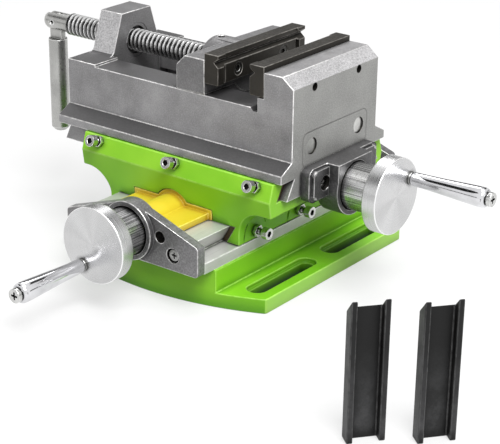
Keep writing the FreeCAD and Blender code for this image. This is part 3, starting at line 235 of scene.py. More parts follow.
mat, shader = start_material("lime_paint", Specular_IOR_Level=PAINT_SPECULAR)
set_finish(mat, shader, *paint_layers(mat, place_of(mat)))
lime_paint = mat
print("lime_paint:", len(mat.node_tree.nodes), "nodes")

# %% [markdown]
# ## Bare milled metal
# The ways were milled, and the cutter left fine lines along its travel. A noise drawn out
# along the travel gives such lines without a picture, in tone, gloss and bump together.


# %% Bare milled metal
def milled_layers(mat, where, along, pale, dark):
    """Colour, roughness and normal of milled iron, with cutter lines along one direction."""
    stretch = Vector((1500, 1500, 1500))
    stretch[along] = 25
    stretched = add(mat, "Mapping", {"Vector": where, "Scale": stretch}).outputs[0]
    lines = grain(mat, stretched, 1.0, 2)
    cloud = grain(mat, where, 24, 4, 0.6)
    colour = blend_colours(mat, spread(mat, cloud, 0.3, 0.7), pale, dark)
    furrows = spread(mat, lines, 0.42, 0.30, 0, 0.3)
    colour = blend_colours(mat, furrows, colour, (0.22, 0.22, 0.21, 1))
    # painted shade: darker where other surfaces close in
    colour = blend_colours(mat, openness(mat, 3), (0.05, 0.055, 0.045, 1), colour)
    colour = blend_colours(mat, chipped(mat, where, 0.9), colour, (0.88, 0.88, 0.86, 1))
    rough = spread(mat, lines, 0.3, 0.7, 0.30, 0.46)
    return colour, rough, dent(mat, lines, 0.00006, 0.35)


# %% [markdown]
# ## A painted base with bare ways
# The base was painted before its slideway was milled, so everything above the painted block
# is bare metal. Both finishes live in one material: the height in the object's coordinates
# switches from paint to metal, which keeps the base one piece. The same coordinates place
# painted light and shade: painted shade makes the curved ends darker near the bench, painted
# light makes the straight flanks paler, and painted shade fills the bolt slots.

# %% The base's finish
BASE_SIDE, PAINT_TOP, RIM_HEIGHT = 95, 28.6, 13
SLOT_X, SLOT_Y = (78.5, 8), (44.5, 38)  # the slots' middles and reach
SLOT_TOP, SLOT_DARK = 10.6, 2
PAINTED_FLANK_LIGHT, METALLIC = 0.45, 0.45
LIME_LOW_SHADE = (0.10, 0.33, 0.010, 1)
LIME_SLOT_SHADE = (0.010, 0.045, 0.001, 1)
PALE_WAY, DARK_WAY = (0.66, 0.655, 0.645, 1), (0.50, 0.495, 0.485, 1)
ALONG_Y = 1
mat, shader = start_material("painted_base", Specular_IOR_Level=PAINT_SPECULAR)
where = place_of(mat)
colour, gloss, normal = paint_layers(mat, where)
bare, rough, lines = milled_layers(mat, where, ALONG_Y, PALE_WAY, DARK_WAY)
sides = add(mat, "SeparateXYZ", {0: where}).outputs
height = sides["Z"]


def close_to(value, middle, reach):
    """1 where a coordinate, on either side of zero, lies within reach of the middle."""
    gap = math_of(mat, "SUBTRACT", math_of(mat, "ABSOLUTE", value), middle * MM)
    return math_of(mat, "LESS_THAN", math_of(mat, "ABSOLUTE", gap), reach * MM)


on_flank = close_to(sides["X"], BASE_SIDE, 0.9)
on_ends = math_of(mat, "SUBTRACT", 1.0, on_flank)
# painted shade: the curved ends go darker towards the bottom
low_end_shade = times(mat, on_ends, spread(mat, height, 0, RIM_HEIGHT * MM, 1.0, 0.0))
colour = blend_colours(mat, low_end_shade, colour, LIME_LOW_SHADE)
# painted light: the straight flanks are paler
colour = blend_colours(mat, times(mat, on_flank, PAINTED_FLANK_LIGHT), colour, LIME_THIN_AND_LIT)
# painted shade inside the bolt slots, deeper towards their bottom
slot_shade = times(mat, close_to(sides["X"], *SLOT_X), close_to(sides["Y"], *SLOT_Y))
slot_shade = times(mat, slot_shade, spread(mat, height, SLOT_TOP * MM, SLOT_DARK * MM))
colour = blend_colours(mat, slot_shade, colour, LIME_SLOT_SHADE)
print("paint and its masks:", len(mat.node_tree.nodes), "nodes")

# %% Paint below, metal above
is_bare = math_of(mat, "GREATER_THAN", height, PAINT_TOP * MM)
bumps = add(mat, "Mix", {"Factor": is_bare}, data_type="VECTOR")
wire(mat, bumps.inputs[4], normal)
wire(mat, bumps.inputs[5], lines)
set_finish(mat, shader, blend_colours(mat, is_bare, colour, bare),
           blend_numbers(mat, is_bare, gloss, rough), bumps.outputs[1])
wire(mat, shader.inputs["Metallic"], times(mat, is_bare, METALLIC))
painted_base = mat
print("painted_base:", len(mat.node_tree.nodes), "nodes")

# %% [markdown]
# ## Grey castings
# The vise and its brackets are bare iron. Some faces were ground, some only blasted and some
# milled and oiled, and some greys also carry painted light and painted shade for the way their
# faces look, so one function makes several greys: a mean tone, cloudy patches, bright specks
# and dark pits of the grit's size, and a bump that lets each grain catch the light.


# %% Grey cast iron
def iron_finish(name, tone, mottle=0.16, grit=1000, speckle=0.2, roughness=0.44, metallic=0.6,
                relief=0.0001, panel=None, reach=5, worn=1.0, tint=(1.0, 0.985, 1.0)):
    """Iron of a mean tone; grit is the grains' scale, and panel a function that draws a line."""
    mat, shader = start_material(name, Metallic=metallic)
    where = place_of(mat)
    cloud = grain(mat, where, 28, 5, 0.62)
    fleck = grain(mat, where, grit, 3, 0.6)

    def shade(amount):
        return tuple(min(0.85, tone * amount * part) for part in tint) + (1,)

    patches = spread(mat, cloud, 0.32, 0.68)
    specks = spread(mat, fleck, 0.50, 0.70, 0, speckle)
    pits = spread(mat, fleck, 0.50, 0.32, 0, speckle * 1.3)
    colour = blend_colours(mat, patches, shade(1 + mottle), shade(1 - mottle))
    colour = blend_colours(mat, specks, colour, shade(2.4))
    colour = blend_colours(mat, pits, colour, shade(0.4))
    # painted shade: darker where other surfaces close in
    colour = blend_colours(mat, openness(mat, reach), shade(0.16), colour)
    rubbed = chipped(mat, where, worn)
    colour = blend_colours(mat, rubbed, colour, (0.90, 0.89, 0.88, 1))
    rough = spread(mat, fleck, 0.3, 0.7, roughness - 0.06, roughness + 0.08)
    normal = dent(mat, fleck, relief, 0.4, dent(mat, cloud, 0.0004, 0.25))
    if panel is not None:
        line = panel(mat, where)
        colour = blend_colours(mat, times(mat, line, 0.45), colour, shade(0.35))
        normal = dent(mat, line, -0.0004, 0.8, normal)
    set_finish(mat, shader, colour, blend_numbers(mat, rubbed, rough, 0.26), normal)
    return mat


def plug_panel(mat, where):
    """1 along the outline of the faint rounded panel round the two end plugs."""
    middle, half, corner = Vector((0, AXIS_Y, 107)) * MM, Vector((0, 38.6, 12.5)) * MM, 5 * MM
    aside = vector_of(mat, "ABSOLUTE", vector_of(mat, "SUBTRACT", where, middle), Vector())
    past = vector_of(mat, "SUBTRACT", aside, half - Vector((0, corner, corner)))
    past = vector_of(mat, "MULTIPLY", vector_of(mat, "MAXIMUM", past, Vector()), Vector((0, 1, 1)))
    away = math_of(mat, "SUBTRACT", vector_of(mat, "LENGTH", past, Vector(), "Value"), corner)
    return spread(mat, math_of(mat, "ABSOLUTE", away), 0.75 * MM, 0.25 * MM)


SANDY = {"grit": 700, "relief": 0.00025, "reach": 8}
side_iron = iron_finish("side_iron", 0.285, 0.28)
end_iron = iron_finish("end_iron", 0.29, 0.12, metallic=0.35, panel=plug_panel, reach=2.5,
                       tint=(1.0, 1.0, 0.965))
milled_shaded_iron = iron_finish("milled_shaded_iron", 0.10, 0.12, 700, 0.10, 0.38)
blasted_lit_iron = iron_finish("blasted_lit_iron", 0.47, 0.14, 900, 0.46, 0.42, 0.6, 0.00022)
jaw_and_shade_iron = iron_finish("jaw_and_shade_iron", 0.185, 0.18, 900, 0.22)
bracket_iron = iron_finish("bracket_iron", 0.19, 0.25, speckle=0.34, roughness=0.42,
                           metallic=0.7, **SANDY)
upper_bracket_iron = iron_finish("upper_bracket_iron", 0.13, 0.22, speckle=0.30, roughness=0.42,
                                 metallic=0.7, **SANDY)
dark_bracket_iron = iron_finish("dark_bracket_iron", 0.10, 0.25, speckle=0.30, roughness=0.40,
                                metallic=0.75, worn=0.55, **SANDY)
print("greys:", [mat.name for mat in bpy.data.materials if mat.name.endswith("_iron")])

# %% [markdown]
# ## Turned aluminium
# A lathe leaves fine rings, and a ringed face stretches every reflection across the rings.
# Anisotropy does this without drawing the rings: its tangent runs round the axis, which is the
# cross product of the axis and the point's offset from it. A slow noise of the direction from
# the axis paints paler and darker sectors on such a face, a painted sheen, and a finer one can
# paint dark streaks along the axis, a painted reflection. Painted shade darkens its corners.


# %% Turned aluminium
RING_SCALE = 4200


def about_axis(mat, where, centre, axis):
    """The offset from an axis, turned a quarter round it, its length, and the place along."""
    offset = vector_of(mat, "SUBTRACT", where, Vector(centre) * MM)
    around = vector_of(mat, "CROSS_PRODUCT", Vector(axis), offset)
    distance = vector_of(mat, "LENGTH", around, Vector(), "Value")
    along = vector_of(mat, "DOT_PRODUCT", offset, Vector(axis), "Value")
    return around, distance, along


def turned_finish(name, centre, axis, tone=0.66, roughness=0.27, anisotropy=0.7, streaks=0.0):
    mat, shader = start_material(name, Metallic=1.0, Anisotropic=anisotropy)
    where = place_of(mat)
    around, distance, along = about_axis(mat, where, centre, axis)
    world = add(mat, "VectorTransform", {0: around}, vector_type="VECTOR",
                convert_from="OBJECT", convert_to="WORLD").outputs[0]
    wire(mat, shader.inputs["Tangent"], vector_of(mat, "NORMALIZE", world, Vector()))
    spot = add(mat, "CombineXYZ", {0: times(mat, distance, RING_SCALE),
                                   1: times(mat, along, RING_SCALE)}).outputs[0]
    rings = grain(mat, spot, 1.0, 2)
    direction = vector_of(mat, "NORMALIZE", around, Vector())
    sectors = grain(mat, direction, 1.1, 1)
    pale, dark = (tone, tone, tone * 1.005, 1), (tone * 0.86, tone * 0.86, tone * 0.865, 1)
    # painted sheen: paler and darker sectors round the axis
    colour = blend_colours(mat, spread(mat, sectors, 0.38, 0.62), pale, dark)
    colour = blend_colours(mat, spread(mat, rings, 0.35, 0.65, 0, 0.35), colour, dark)
    # painted reflection: dark streaks along the axis
    if streaks:
        lengthwise = grain(mat, direction, 16, 4, 0.75)
        colour = blend_colours(mat, spread(mat, lengthwise, 0.46, 0.58, 0, streaks), colour,
                               grey(tone * 0.16))
    # painted shade: darker where other surfaces close in
    colour = blend_colours(mat, openness(mat, 4), grey(0.06), colour)
    gloss = spread(mat, rings, 0.3, 0.7, roughness - 0.04, roughness + 0.05)
    set_finish(mat, shader, blend_colours(mat, outer_edge(mat), colour, grey(0.93)), gloss)
    return mat


LOWER_AXIS = ((0, 0, LOWER_Z), (0, 1, 0))
UPPER_AXIS = ((0, AXIS_Y, UPPER_Z), (1, 0, 0))
CLAMP_AXIS = ((0, AXIS_Y, CLAMP_Z), (1, 0, 0))
lower_turned = turned_finish("lower_turned_aluminium", *LOWER_AXIS)
upper_turned = turned_finish("upper_turned_aluminium", *UPPER_AXIS)
lower_knurled = turned_finish("lower_knurled_aluminium", *LOWER_AXIS, 0.80, 0.28, 0.4, 0.95)
upper_streaked = turned_finish("upper_streaked_aluminium", *UPPER_AXIS, 0.76, 0.26, 0.4, 0.8)
print("turned finishes round", LOWER_AXIS, "and", UPPER_AXIS)

# %% [markdown]
# ## Screw threads
# The crests of a screw are rubbed bright by its nut, and its roots are darker, as grease and as
# painted shade. The distance from the axis tells crest from root, so one ramp on that distance
# colours both.


# %% Thread steel
def thread_finish(name, centre, axis, root, crest, tone=0.62):
    mat, shader = start_material(name, Metallic=0.95)
    where = place_of(mat)
    distance = about_axis(mat, where, centre, axis)[1]
    rubbed = spread(mat, distance, root * MM, crest * MM)
    grime_and_shade = grain(mat, where, 160)
    greased_and_shaded = blend_colours(mat, grime_and_shade, grey(0.03), (0.16, 0.155, 0.15, 1))
    colour = blend_colours(mat, rubbed, greased_and_shaded, grey(tone))
    # painted shade: darker where other surfaces close in
    set_finish(mat, shader, blend_colours(mat, openness(mat, 3, 0.2, 0.8), grey(0.02), colour),
               spread(mat, grime_and_shade, 0.3, 0.7, 0.20, 0.34),
               dent(mat, grain(mat, where, 1200, 2), 0.00003, 0.3))
    return mat


clamp_thread_steel = thread_finish("clamp_thread_steel", *CLAMP_AXIS, 6.6, 8.3, 0.72)
lower_thread_steel = thread_finish("lower_thread_steel", *LOWER_AXIS, 5.7, 6.9)
upper_thread_steel = thread_finish("upper_thread_steel", *UPPER_AXIS, 5.7, 6.9)
print("clamp_thread_steel:", len(clamp_thread_steel.node_tree.nodes), "nodes")

# %% [markdown]
# ## Steels, chrome and bronze
# Screws and pins are zinc plated or bright steel, the grips are polished chrome, the hidden
# nuts are bronze, and the jaw plates are blackened steel. They differ only in colour, gloss and
# wear, so one function with a few numbers makes them all.


# %% Steels
def plain_metal(name, colour, roughness, streak, depth=0.00003, metallic=1.0, grime_and_shade=3.0,
                worn=0.6, bright=(0.92, 0.92, 0.91, 1), deepest=0.25):
    """Metal whose gloss and tone wander a little, with painted shade in its corners."""
    def darker(share):
        return tuple(v * share for v in colour[:3]) + (1,)

    mat, shader = start_material(name, Metallic=metallic)
    where = place_of(mat)
    marks = grain(mat, where, streak * 12)
    cloud = grain(mat, where, streak)
    finish = blend_colours(mat, spread(mat, cloud, 0.35, 0.7), colour, darker(0.72))
    # painted shade: darker where other surfaces close in
    finish = blend_colours(mat, openness(mat, grime_and_shade, deepest, 0.92), darker(0.07), finish)
    set_finish(mat, shader, blend_colours(mat, chipped(mat, where, worn), finish, bright),
               spread(mat, marks, 0.3, 0.7, roughness * 0.8, roughness * 1.3),
               dent(mat, marks, depth, 0.3))
    return mat


zinc_steel = plain_metal("zinc_steel", (0.66, 0.66, 0.65, 1), 0.20, 160, worn=1.0, deepest=0.6)
bar_steel = plain_metal("bar_steel", (0.50, 0.50, 0.485, 1), 0.30, 40)
polished_chrome = plain_metal("polished_chrome", (0.78, 0.78, 0.80, 1), 0.09, 50, 0.00001)
gib_steel = plain_metal("gib_steel", (0.36, 0.35, 0.34, 1), 0.38, 80)
oiled_gib_steel = plain_metal("oiled_gib_steel", (0.16, 0.12, 0.075, 1), 0.34, 120)
# darker steel, with a wider reach of painted shade, for the screws deep in the brackets' bores
dark_shaded_steel = plain_metal("dark_shaded_steel", (0.40, 0.40, 0.39, 1), 0.28, 160, grime_and_shade=6.0, worn=0.8,
                          deepest=0.6)
plug_steel = plain_metal("plug_steel", (0.66, 0.66, 0.64, 1), 0.34, 120, grime_and_shade=1.6)
bronze = plain_metal("bronze", (0.62, 0.42, 0.17, 1), 0.33, 80)
# blackened steel for the jaw plates' screws, and painted shade in bores and sockets
black_and_shade_steel = plain_metal("black_and_shade_steel", (0.05, 0.047, 0.042, 1), 0.34, 120,
                                metallic=0.8)
jaw_steel = plain_metal("blackened_jaw_steel", (0.038, 0.034, 0.028, 1), 0.42, 45, 0.00006,
                        metallic=0.7, grime_and_shade=4.0, bright=(0.42, 0.40, 0.37, 1))
print("metals:", [mat.name for mat in bpy.data.materials if mat.name.endswith("_steel")])

# %% [markdown]
# ## Yellow cover and black rubber
# The cover is glossy plastic: a thin coat over two close yellows, with painted shade, a deeper
# yellow, where it is closed in. The loose pads are moulded rubber. Their black is greyed towards
# the foot by a rough noise, a painted sheen, and painted shade darkens their grooves.

# %% Yellow plastic
mat, shader = start_material("yellow_gloss", Coat_Weight=0.25, Coat_Roughness=0.15)
where = place_of(mat)
cloud = grain(mat, where, 30)
colour = blend_colours(mat, spread(mat, cloud, 0.3, 0.7),
                       (0.70, 0.55, 0.040, 1), (0.62, 0.46, 0.018, 1))
# painted shade: a deeper yellow where other surfaces close in
colour = blend_colours(mat, openness(mat, 6), (0.34, 0.17, 0.002, 1), colour)
colour = blend_colours(mat, chipped(mat, where, 0.7), colour, (0.95, 0.83, 0.22, 1))
set_finish(mat, shader, colour, spread(mat, cloud, 0.3, 0.7, 0.3, 0.42),
           dent(mat, grain(mat, where, 400, 2), 0.0001, 0.25))
yellow_gloss = mat
print("yellow_gloss:", len(mat.node_tree.nodes), "nodes")

# %% Moulded rubber
mat, shader = start_material("pad_rubber", Specular_IOR_Level=0.26)
where = place_of(mat)
pores = grain(mat, where, 900, 4, 0.65)
blotches = grain(mat, where, 45, 5, 0.72)
height = add(mat, "SeparateXYZ", {0: where}).outputs["Z"]
# painted sheen: a rough grey that fades in towards the foot
lower_sheen = times(mat, spread(mat, height, 62 * MM, 8 * MM, 0.08, 1.0),
               spread(mat, blotches, 0.40, 0.66, 0.25, 1.0))
colour = blend_colours(mat, lower_sheen, grey(0.004), (0.085, 0.085, 0.087, 1))
# painted shade: nearly black where other surfaces close in
colour = blend_colours(mat, openness(mat, 10, 0.55, 0.98), grey(0.0015), colour)
colour = blend_colours(mat, chipped(mat, where, 0.5), colour, grey(0.14))
set_finish(mat, shader, colour, spread(mat, blotches, 0.3, 0.7, 0.36, 0.60),
           dent(mat, pores, 0.0002, 0.4, dent(mat, blotches, 0.0008, 0.4)))
pad_rubber = mat
print("materials:", len(bpy.data.materials))

# %% [markdown]
# ## From casting to piece
# A cast or machined edge is never a perfect corner: its small round catches the light, and this
# thin bright line does more for a metal part than any texture. Where the CAD node has the right
# form, its mesh is copied, its triangles are joined at their corners, and its sharp edges are
# bevelled. The copy then replaces the node. The triangles stay, because a bevel folds a large
# face with holes over itself. The bevel is not clamped, or the shortest edge of a casting would
# hold back all the others. Flat faces are shaded flat, and a round never blends into its
# neighbours, or it would bend the light across them.


# %% Helpers for pieces
FASTENER = "fastener_steel"  # listed as the slot of every screw and nut, but nothing reads it
BROKEN_EDGE = 0.25


def copy_node(node):
    """The node's mesh with its loose triangles joined at their corners."""
    bm = bmesh.new()
    bm.from_mesh(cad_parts[node].data)
    bmesh.ops.remove_doubles(bm, verts=bm.verts, dist=2e-6)
    return bm


def cut_off(bm, place, direction):
    """Remove what lies beyond the plane through a place in metres."""
    bmesh.ops.bisect_plane(bm, geom=list(bm.verts) + list(bm.edges) + list(bm.faces), dist=1e-7,
                           plane_co=place, plane_no=direction, clear_outer=True)


def close_cuts(bm):
    bmesh.ops.holes_fill(bm, edges=[edge for edge in bm.edges if edge.is_boundary], sides=0)


def trim(bm, point, direction):
    """Cut at a point in millimetres, and close the cut."""
    cut_off(bm, Vector(point) * MM, direction)
    close_cuts(bm)
    return bm


def round_edges(bm, radius, segments=2, angle=24, wanted=None):
    """Bevel the edges that turn by more than the angle, and mark new faces for wear."""
    wear = bm.faces.layers.float.get("edge_wear") or bm.faces.layers.float.new("edge_wear")
    flat = bm.faces.layers.int.get("flat_face") or bm.faces.layers.int.new("flat_face")
    for face in bm.faces:
        turns = [math.degrees(edge.calc_face_angle(0)) for edge in face.edges]
        face[flat] = all(turn < 0.5 or turn > angle for turn in turns)
    edges = [edge for edge in bm.edges if edge.is_manifold and
             edge.calc_face_angle() > math.radians(angle) and (wanted is None or wanted(edge))]
    made = bmesh.ops.bevel(bm, geom=edges, offset=radius * MM, segments=segments, profile=0.5,
                           affect="EDGES", clamp_overlap=False, loop_slide=False, material=-1)
    for face in made["faces"]:
        turn = sum(edge.calc_face_angle_signed() for edge in face.edges if edge.is_manifold)
        face[wear] = 1.0 if turn > 0 else -1.0
        face[flat] = 0
    return bm


def make_piece(bm, name, body, finish, replaces, smooth=26):
    """Turn a bmesh into a piece that rides on a body; edges sharper than smooth stay sharp."""
    flat = bm.faces.layers.int.get("flat_face")
    wear = bm.faces.layers.float.get("edge_wear")
    for face in bm.faces:
        face.smooth = flat is None or not face[flat]
    for edge in bm.edges:
        if edge.is_manifold:
            border = wear is not None and edge.link_faces[0][wear] != edge.link_faces[1][wear]
            edge.smooth = not border and edge.calc_face_angle() < math.radians(smooth)
    mesh = bpy.data.meshes.new(name)
    bm.to_mesh(mesh)
    bm.free()
    mesh.materials.append(finish)
    piece = bpy.data.objects.new(name, mesh)
    scene.collection.objects.link(piece)
    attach(piece, body)
    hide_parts(*replaces)
    print(name, len(mesh.polygons), "faces")
    return piece


def rounded_piece(node, name, body, finish, radius, segments=2):
    """The common case: a node's own form with its edges rounded."""
    bm = round_edges(copy_node(node), radius, segments)
    return make_piece(bm, name, body, finish, (node,))


def refinish(piece, finish, chosen):
    """Give another finish to the faces that chosen(centre in millimetres, normal) picks."""
    piece.data.materials.append(finish)
    faces = [face for face in piece.data.polygons if chosen(face.center / MM, face.normal)]
    for face in faces:
        face.material_index = len(piece.data.materials) - 1
    print(" ", finish.name, "on", len(faces), "faces")


# %% [markdown]
# ## The painted castings
# The base and the saddle could be built anew from boxes and cuts, but their CAD form is exact,
# so they are copied. Thick paint softens an edge, so the round is wide and has three segments.

# %% The painted castings
rounded_piece("base", "painted_base_casting", "base", painted_base, 0.8, 3)
rounded_piece("saddle", "painted_saddle_casting", "saddle", lime_paint, 0.8, 3)

# %% [markdown]
# ## The yellow cover
# The cover keeps chips off the lower lead screw. Its arch and lip are in the CAD form, so it
# only needs the full edges of moulded plastic.

# %% The yellow cover
rounded_piece("screw_cover", "yellow_screw_cover", "saddle", yellow_gloss, 0.6, 3)

# %% [markdown]
# ## One casting, several finishes and painted light
# The vise is cast in one piece, but its ways were milled and oiled, its sides ground, and its
# tower and the slope behind the jaw were only blasted. Their tones also hold painted light and
# shade for the way the faces look: the upward faces are darker, as painted dark reflection, the
# tower's sides and the slope behind the jaw are paler, as painted light, and the tower's top and
# front take the jaw's darker tone, as painted shade. Splitting the mesh would lose the rounds
# between two finishes, so each finish is given to the faces that lie and look the right way.


# %% Where the bores are
def from_bores(aside, height, offset, level):
    """Distance in a cross-section to two bores, at this offset each side of the middle."""
    return math.hypot(abs(aside) - offset, height - level)


PLATE_BORES, PLUG_BORES, TOWER_BORE = (26.5, 151), (28.4, 109), (0, CLAMP_Z)
TOWER_FACE = -85


def outside_rims(edge):
    """Leave out the rims of the bores and the relief at the jaw's foot, too tight for a round."""
    x, y, z = (edge.verts[0].co + edge.verts[1].co) / 2 / MM
    aside = y - AXIS_Y
    plate_holes = x > 93.9 and 147 < z < 154.5 and abs(aside) < 40
    plugs = x > 92 and from_bores(aside, z, *PLUG_BORES) < 7
    tower_bore = -95 < x < TOWER_FACE and from_bores(aside, z, *TOWER_BORE) < 14
    relief = 57.5 < x < 64 and 132 < z < 135.2
    return not (plate_holes or plugs or tower_bore or relief)


# %% The vise casting
def in_vise_bores(at, to):
    aside = at.y - AXIS_Y
    return abs(to.x) < 0.3 and (
        at.x > 60 and from_bores(aside, at.z, *PLATE_BORES) < 3.2 or
        at.x > 80 and from_bores(aside, at.z, *PLUG_BORES) < 6.4 or
        -94 < at.x < -80 and from_bores(aside, at.z, *TOWER_BORE) < 11.2)


RAIL_HEIGHT, TOWER_FOOT, TOWER_TOP = 146, 138, 150
SLOPE_X, SLOPE_FOOT, END_FACE = 80, 152, 90
FACING, SQUARE, SIDEWAYS, SLOPING = 0.5, 0.95, 0.6, 0.3  # of a unit normal, along an axis
vise = make_piece(round_edges(copy_node("vise_body"), 0.5, wanted=outside_rims), "vise_casting",
                  "vise", side_iron, ("vise_body",))
# milled ways, with painted dark reflection: the upward faces darker
refinish(vise, milled_shaded_iron, lambda at, to: to.z > FACING and at.z < RAIL_HEIGHT)
# painted shade: the tower's top and front take the jaw's darker tone
refinish(vise, jaw_and_shade_iron, lambda at, to: at.x < TOWER_FACE and (
    to.z > FACING and at.z > TOWER_TOP or to.x > SQUARE))
refinish(vise, end_iron, lambda at, to: to.x > SQUARE and at.x > END_FACE)
# blasted faces, with painted light: the tower's sides and, below, the slope behind the jaw
refinish(vise, blasted_lit_iron, lambda at, to: (
    at.z > TOWER_FOOT and at.x < TOWER_FACE and abs(to.y) > SIDEWAYS))
refinish(vise, blasted_lit_iron, lambda at, to: (
    to.x > SLOPING and to.z > SLOPING and at.z > SLOPE_FOOT and at.x > SLOPE_X))
# painted shade: the walls of the vise's bores are made black
refinish(vise, black_and_shade_steel, in_vise_bores)

# %% [markdown]
# ## The moving jaw and the lower brackets
# The moving jaw has one finish all over. The same choice of faces by place makes the walls of
# the brackets' bores black, as painted shade.

# %% The moving jaw
rounded_piece("moving_jaw", "moving_jaw_casting", "moving_jaw", jaw_and_shade_iron, 0.6)

# %% The lower screw's brackets
BRACKET_SEATS, LOCK_HOLES, DIAL_BORE = (38.5, 39.2), (27, 50), (0, LOWER_Z)
SEAT_REACH, DIAL_REACH = 5.5, 18.1


def in_lower_bores(at, to):
    """The walls of the screw seats, the lock holes and the dial's bore."""
    return (from_bores(at.x, at.z, *BRACKET_SEATS) < SEAT_REACH
            or from_bores(at.x, at.z, *LOCK_HOLES) < 4.4
            or from_bores(at.x, at.z, *DIAL_BORE) < DIAL_REACH)


for side in ("front", "rear"):
    bracket = rounded_piece(side + "_screw_bracket", side + "_bracket_casting", "base",
                            bracket_iron, 0.5)
    # painted shade: the walls of the bracket's bores are made black
    refinish(bracket, black_and_shade_steel, in_lower_bores)

# %% [markdown]
# ## The upper bracket
# The pads under its screws reach almost to its ends and have large rounds, and the ring's
# crown is level with the block. Moving the pads' own points and rounding their corners first
# leaves the copy's other edges in place.

# %% Shape the upper bracket
PAD_X, PAD_SIDE, PAD_LOW, PAD_HIGH = 101.9, 33.5, 73.5, 93.5
WIDER, TALLER, BLOCK_TOP, UPPER_SEATS = 4.7, 0.6, 96, (25, 83.2)
upper = trim(copy_node("upper_screw_bracket"), (0, 0, BLOCK_TOP), (0, 0, 1))
for vert in upper.verts:
    x, y, z = vert.co / MM
    aside = y - AXIS_Y
    if x > PAD_X and abs(abs(aside) - PAD_SIDE) < 0.1:
        vert.co.y += math.copysign(WIDER, aside) * MM
    if x > PAD_X and min(abs(z - PAD_LOW), abs(z - PAD_HIGH)) < 0.1 and abs(aside) > 20.4:
        vert.co.z += math.copysign(TALLER, z - 80) * MM


def pad_corner(edge):
    x, y, z = (edge.verts[0].co + edge.verts[1].co) / 2 / MM
    return 102 < x < 104 and abs(abs(y - AXIS_Y) - 38.2) < 0.1 and abs(abs(z - 83.5) - 10.6) < 0.1


upper = round_edges(round_edges(upper, 3.5, 6, wanted=pad_corner), 0.5)
upper = make_piece(upper, "upper_bracket_casting", "vise", dark_bracket_iron,
                   ("upper_screw_bracket",))
refinish(upper, upper_bracket_iron, lambda at, to: to.z > FACING)
# painted shade: the walls of the bracket's bores are made black
refinish(upper, black_and_shade_steel, lambda at, to: (
    at.x < 103.9 and from_bores(at.y - AXIS_Y, at.z, *UPPER_SEATS) < SEAT_REACH or
    from_bores(at.y - AXIS_Y, at.z, 0, UPPER_Z) < DIAL_REACH))

# %% [markdown]
# ## Jaw plates and loose pads
# The grooved plates are blackened steel, and the pads are rubber channels that slip over them.
# Their grooves are in the CAD form, so only edges are left: crisp on steel, full on rubber.

# %% The jaw plates and pads
rounded_piece("fixed_jaw_plate", "fixed_grooved_plate", "vise", jaw_steel, 0.4)
rounded_piece("moving_jaw_plate", "moving_grooved_plate", "moving_jaw", jaw_steel,
              0.4)
for side in ("left", "right"):
    rounded_piece(side + "_jaw_pad", side + "_rubber_pad", "base", pad_rubber,
                  0.8, 3)

# %% [markdown]
# ## Turned pieces
# Wheels, dials and grips come off a lathe. A cylinder with bevels would do for a plain wheel,
# but not for a swelling grip, so half of each outline is drawn once and spun round the axis.
# Points of the outline are (distance along the axis, radius) in millimetres.


# %% Spin an outline
def turned(outline, origin, axis, steps=96):
    """Spin an outline round an axis that starts at the origin, given in millimetres."""
    bm = bmesh.new()
    centre = Vector(origin) * MM
    axis = Vector(axis)
    side = axis.orthogonal().normalized()
    verts = [bm.verts.new(centre + (axis * along + side * radius) * MM)
             for along, radius in outline]
    edges = [bm.edges.new(pair) for pair in zip(verts, verts[1:])]
    bmesh.ops.spin(bm, geom=verts + edges, cent=centre, axis=axis, angle=math.tau,
                   steps=steps, use_merge=True)
    bmesh.ops.remove_doubles(bm, verts=bm.verts, dist=1e-6)
    bmesh.ops.recalc_face_normals(bm, faces=bm.faces)
    return bm


# %% The handwheels
LOWER_RING = ((0, -121, LOWER_Z), (0, -1, 0))
UPPER_RING = ((112, AXIS_Y, UPPER_Z), (1, 0, 0))
BACK, FRONT, WHEEL_RADIUS = 23.5, 34.5, 27.5
WHEEL = [(BACK, 0), (BACK, WHEEL_RADIUS), (FRONT, WHEEL_RADIUS), (FRONT, 0)]
for side, ring, finish in (("lower", LOWER_RING, lower_turned),
                           ("upper", UPPER_RING, upper_turned)):
    wheel = round_edges(turned(WHEEL, *ring), 0.6, 3)
    make_piece(wheel, side + "_turned_wheel", side + "_screw", finish,
               (side + "_handwheel",), 40)

# %% [markdown]
# ## The dials
# The lower dial has straight knurling for the fingers. The knurl is cut by pushing every
# second line of points towards the axis. The upper dial is plain.

# %% The dials
DIAL_RADIUS, DIAL_STEPS, KNURL_DEPTH = 17.2, 160, 0.45
DIAL = [(-2.5, 0), (-2.5, DIAL_RADIUS), (0.5, DIAL_RADIUS), (17.5, DIAL_RADIUS), (18.2, 16.6),
        (23.6, 16.6), (23.6, 0)]
PLAIN_DIAL = [(-2.5, 0), (-2.5, DIAL_RADIUS), (23.6, DIAL_RADIUS), (23.6, 0)]
lower_dial = turned(DIAL, *LOWER_RING, DIAL_STEPS)
for vert in lower_dial.verts:
    flat = Vector((vert.co.x, 0, vert.co.z - LOWER_Z * MM))
    step = math.atan2(flat.z, flat.x) / math.tau * DIAL_STEPS
    if flat.length > 16.9 * MM and round(step) % 2:
        vert.co -= flat.normalized() * KNURL_DEPTH * MM
make_piece(lower_dial, "knurled_dial", "lower_screw", lower_knurled,
           ("lower_dial",), 12)
make_piece(round_edges(turned(PLAIN_DIAL, *UPPER_RING), 0.4), "plain_dial", "upper_screw",
           upper_streaked, ("upper_dial",), 40)

# %% [markdown]
# ## The grips
# Each grip is a polished taper that swells towards its end and turns on a spindle. Its outline
# has points enough for a smooth curve, and a small round at each end.

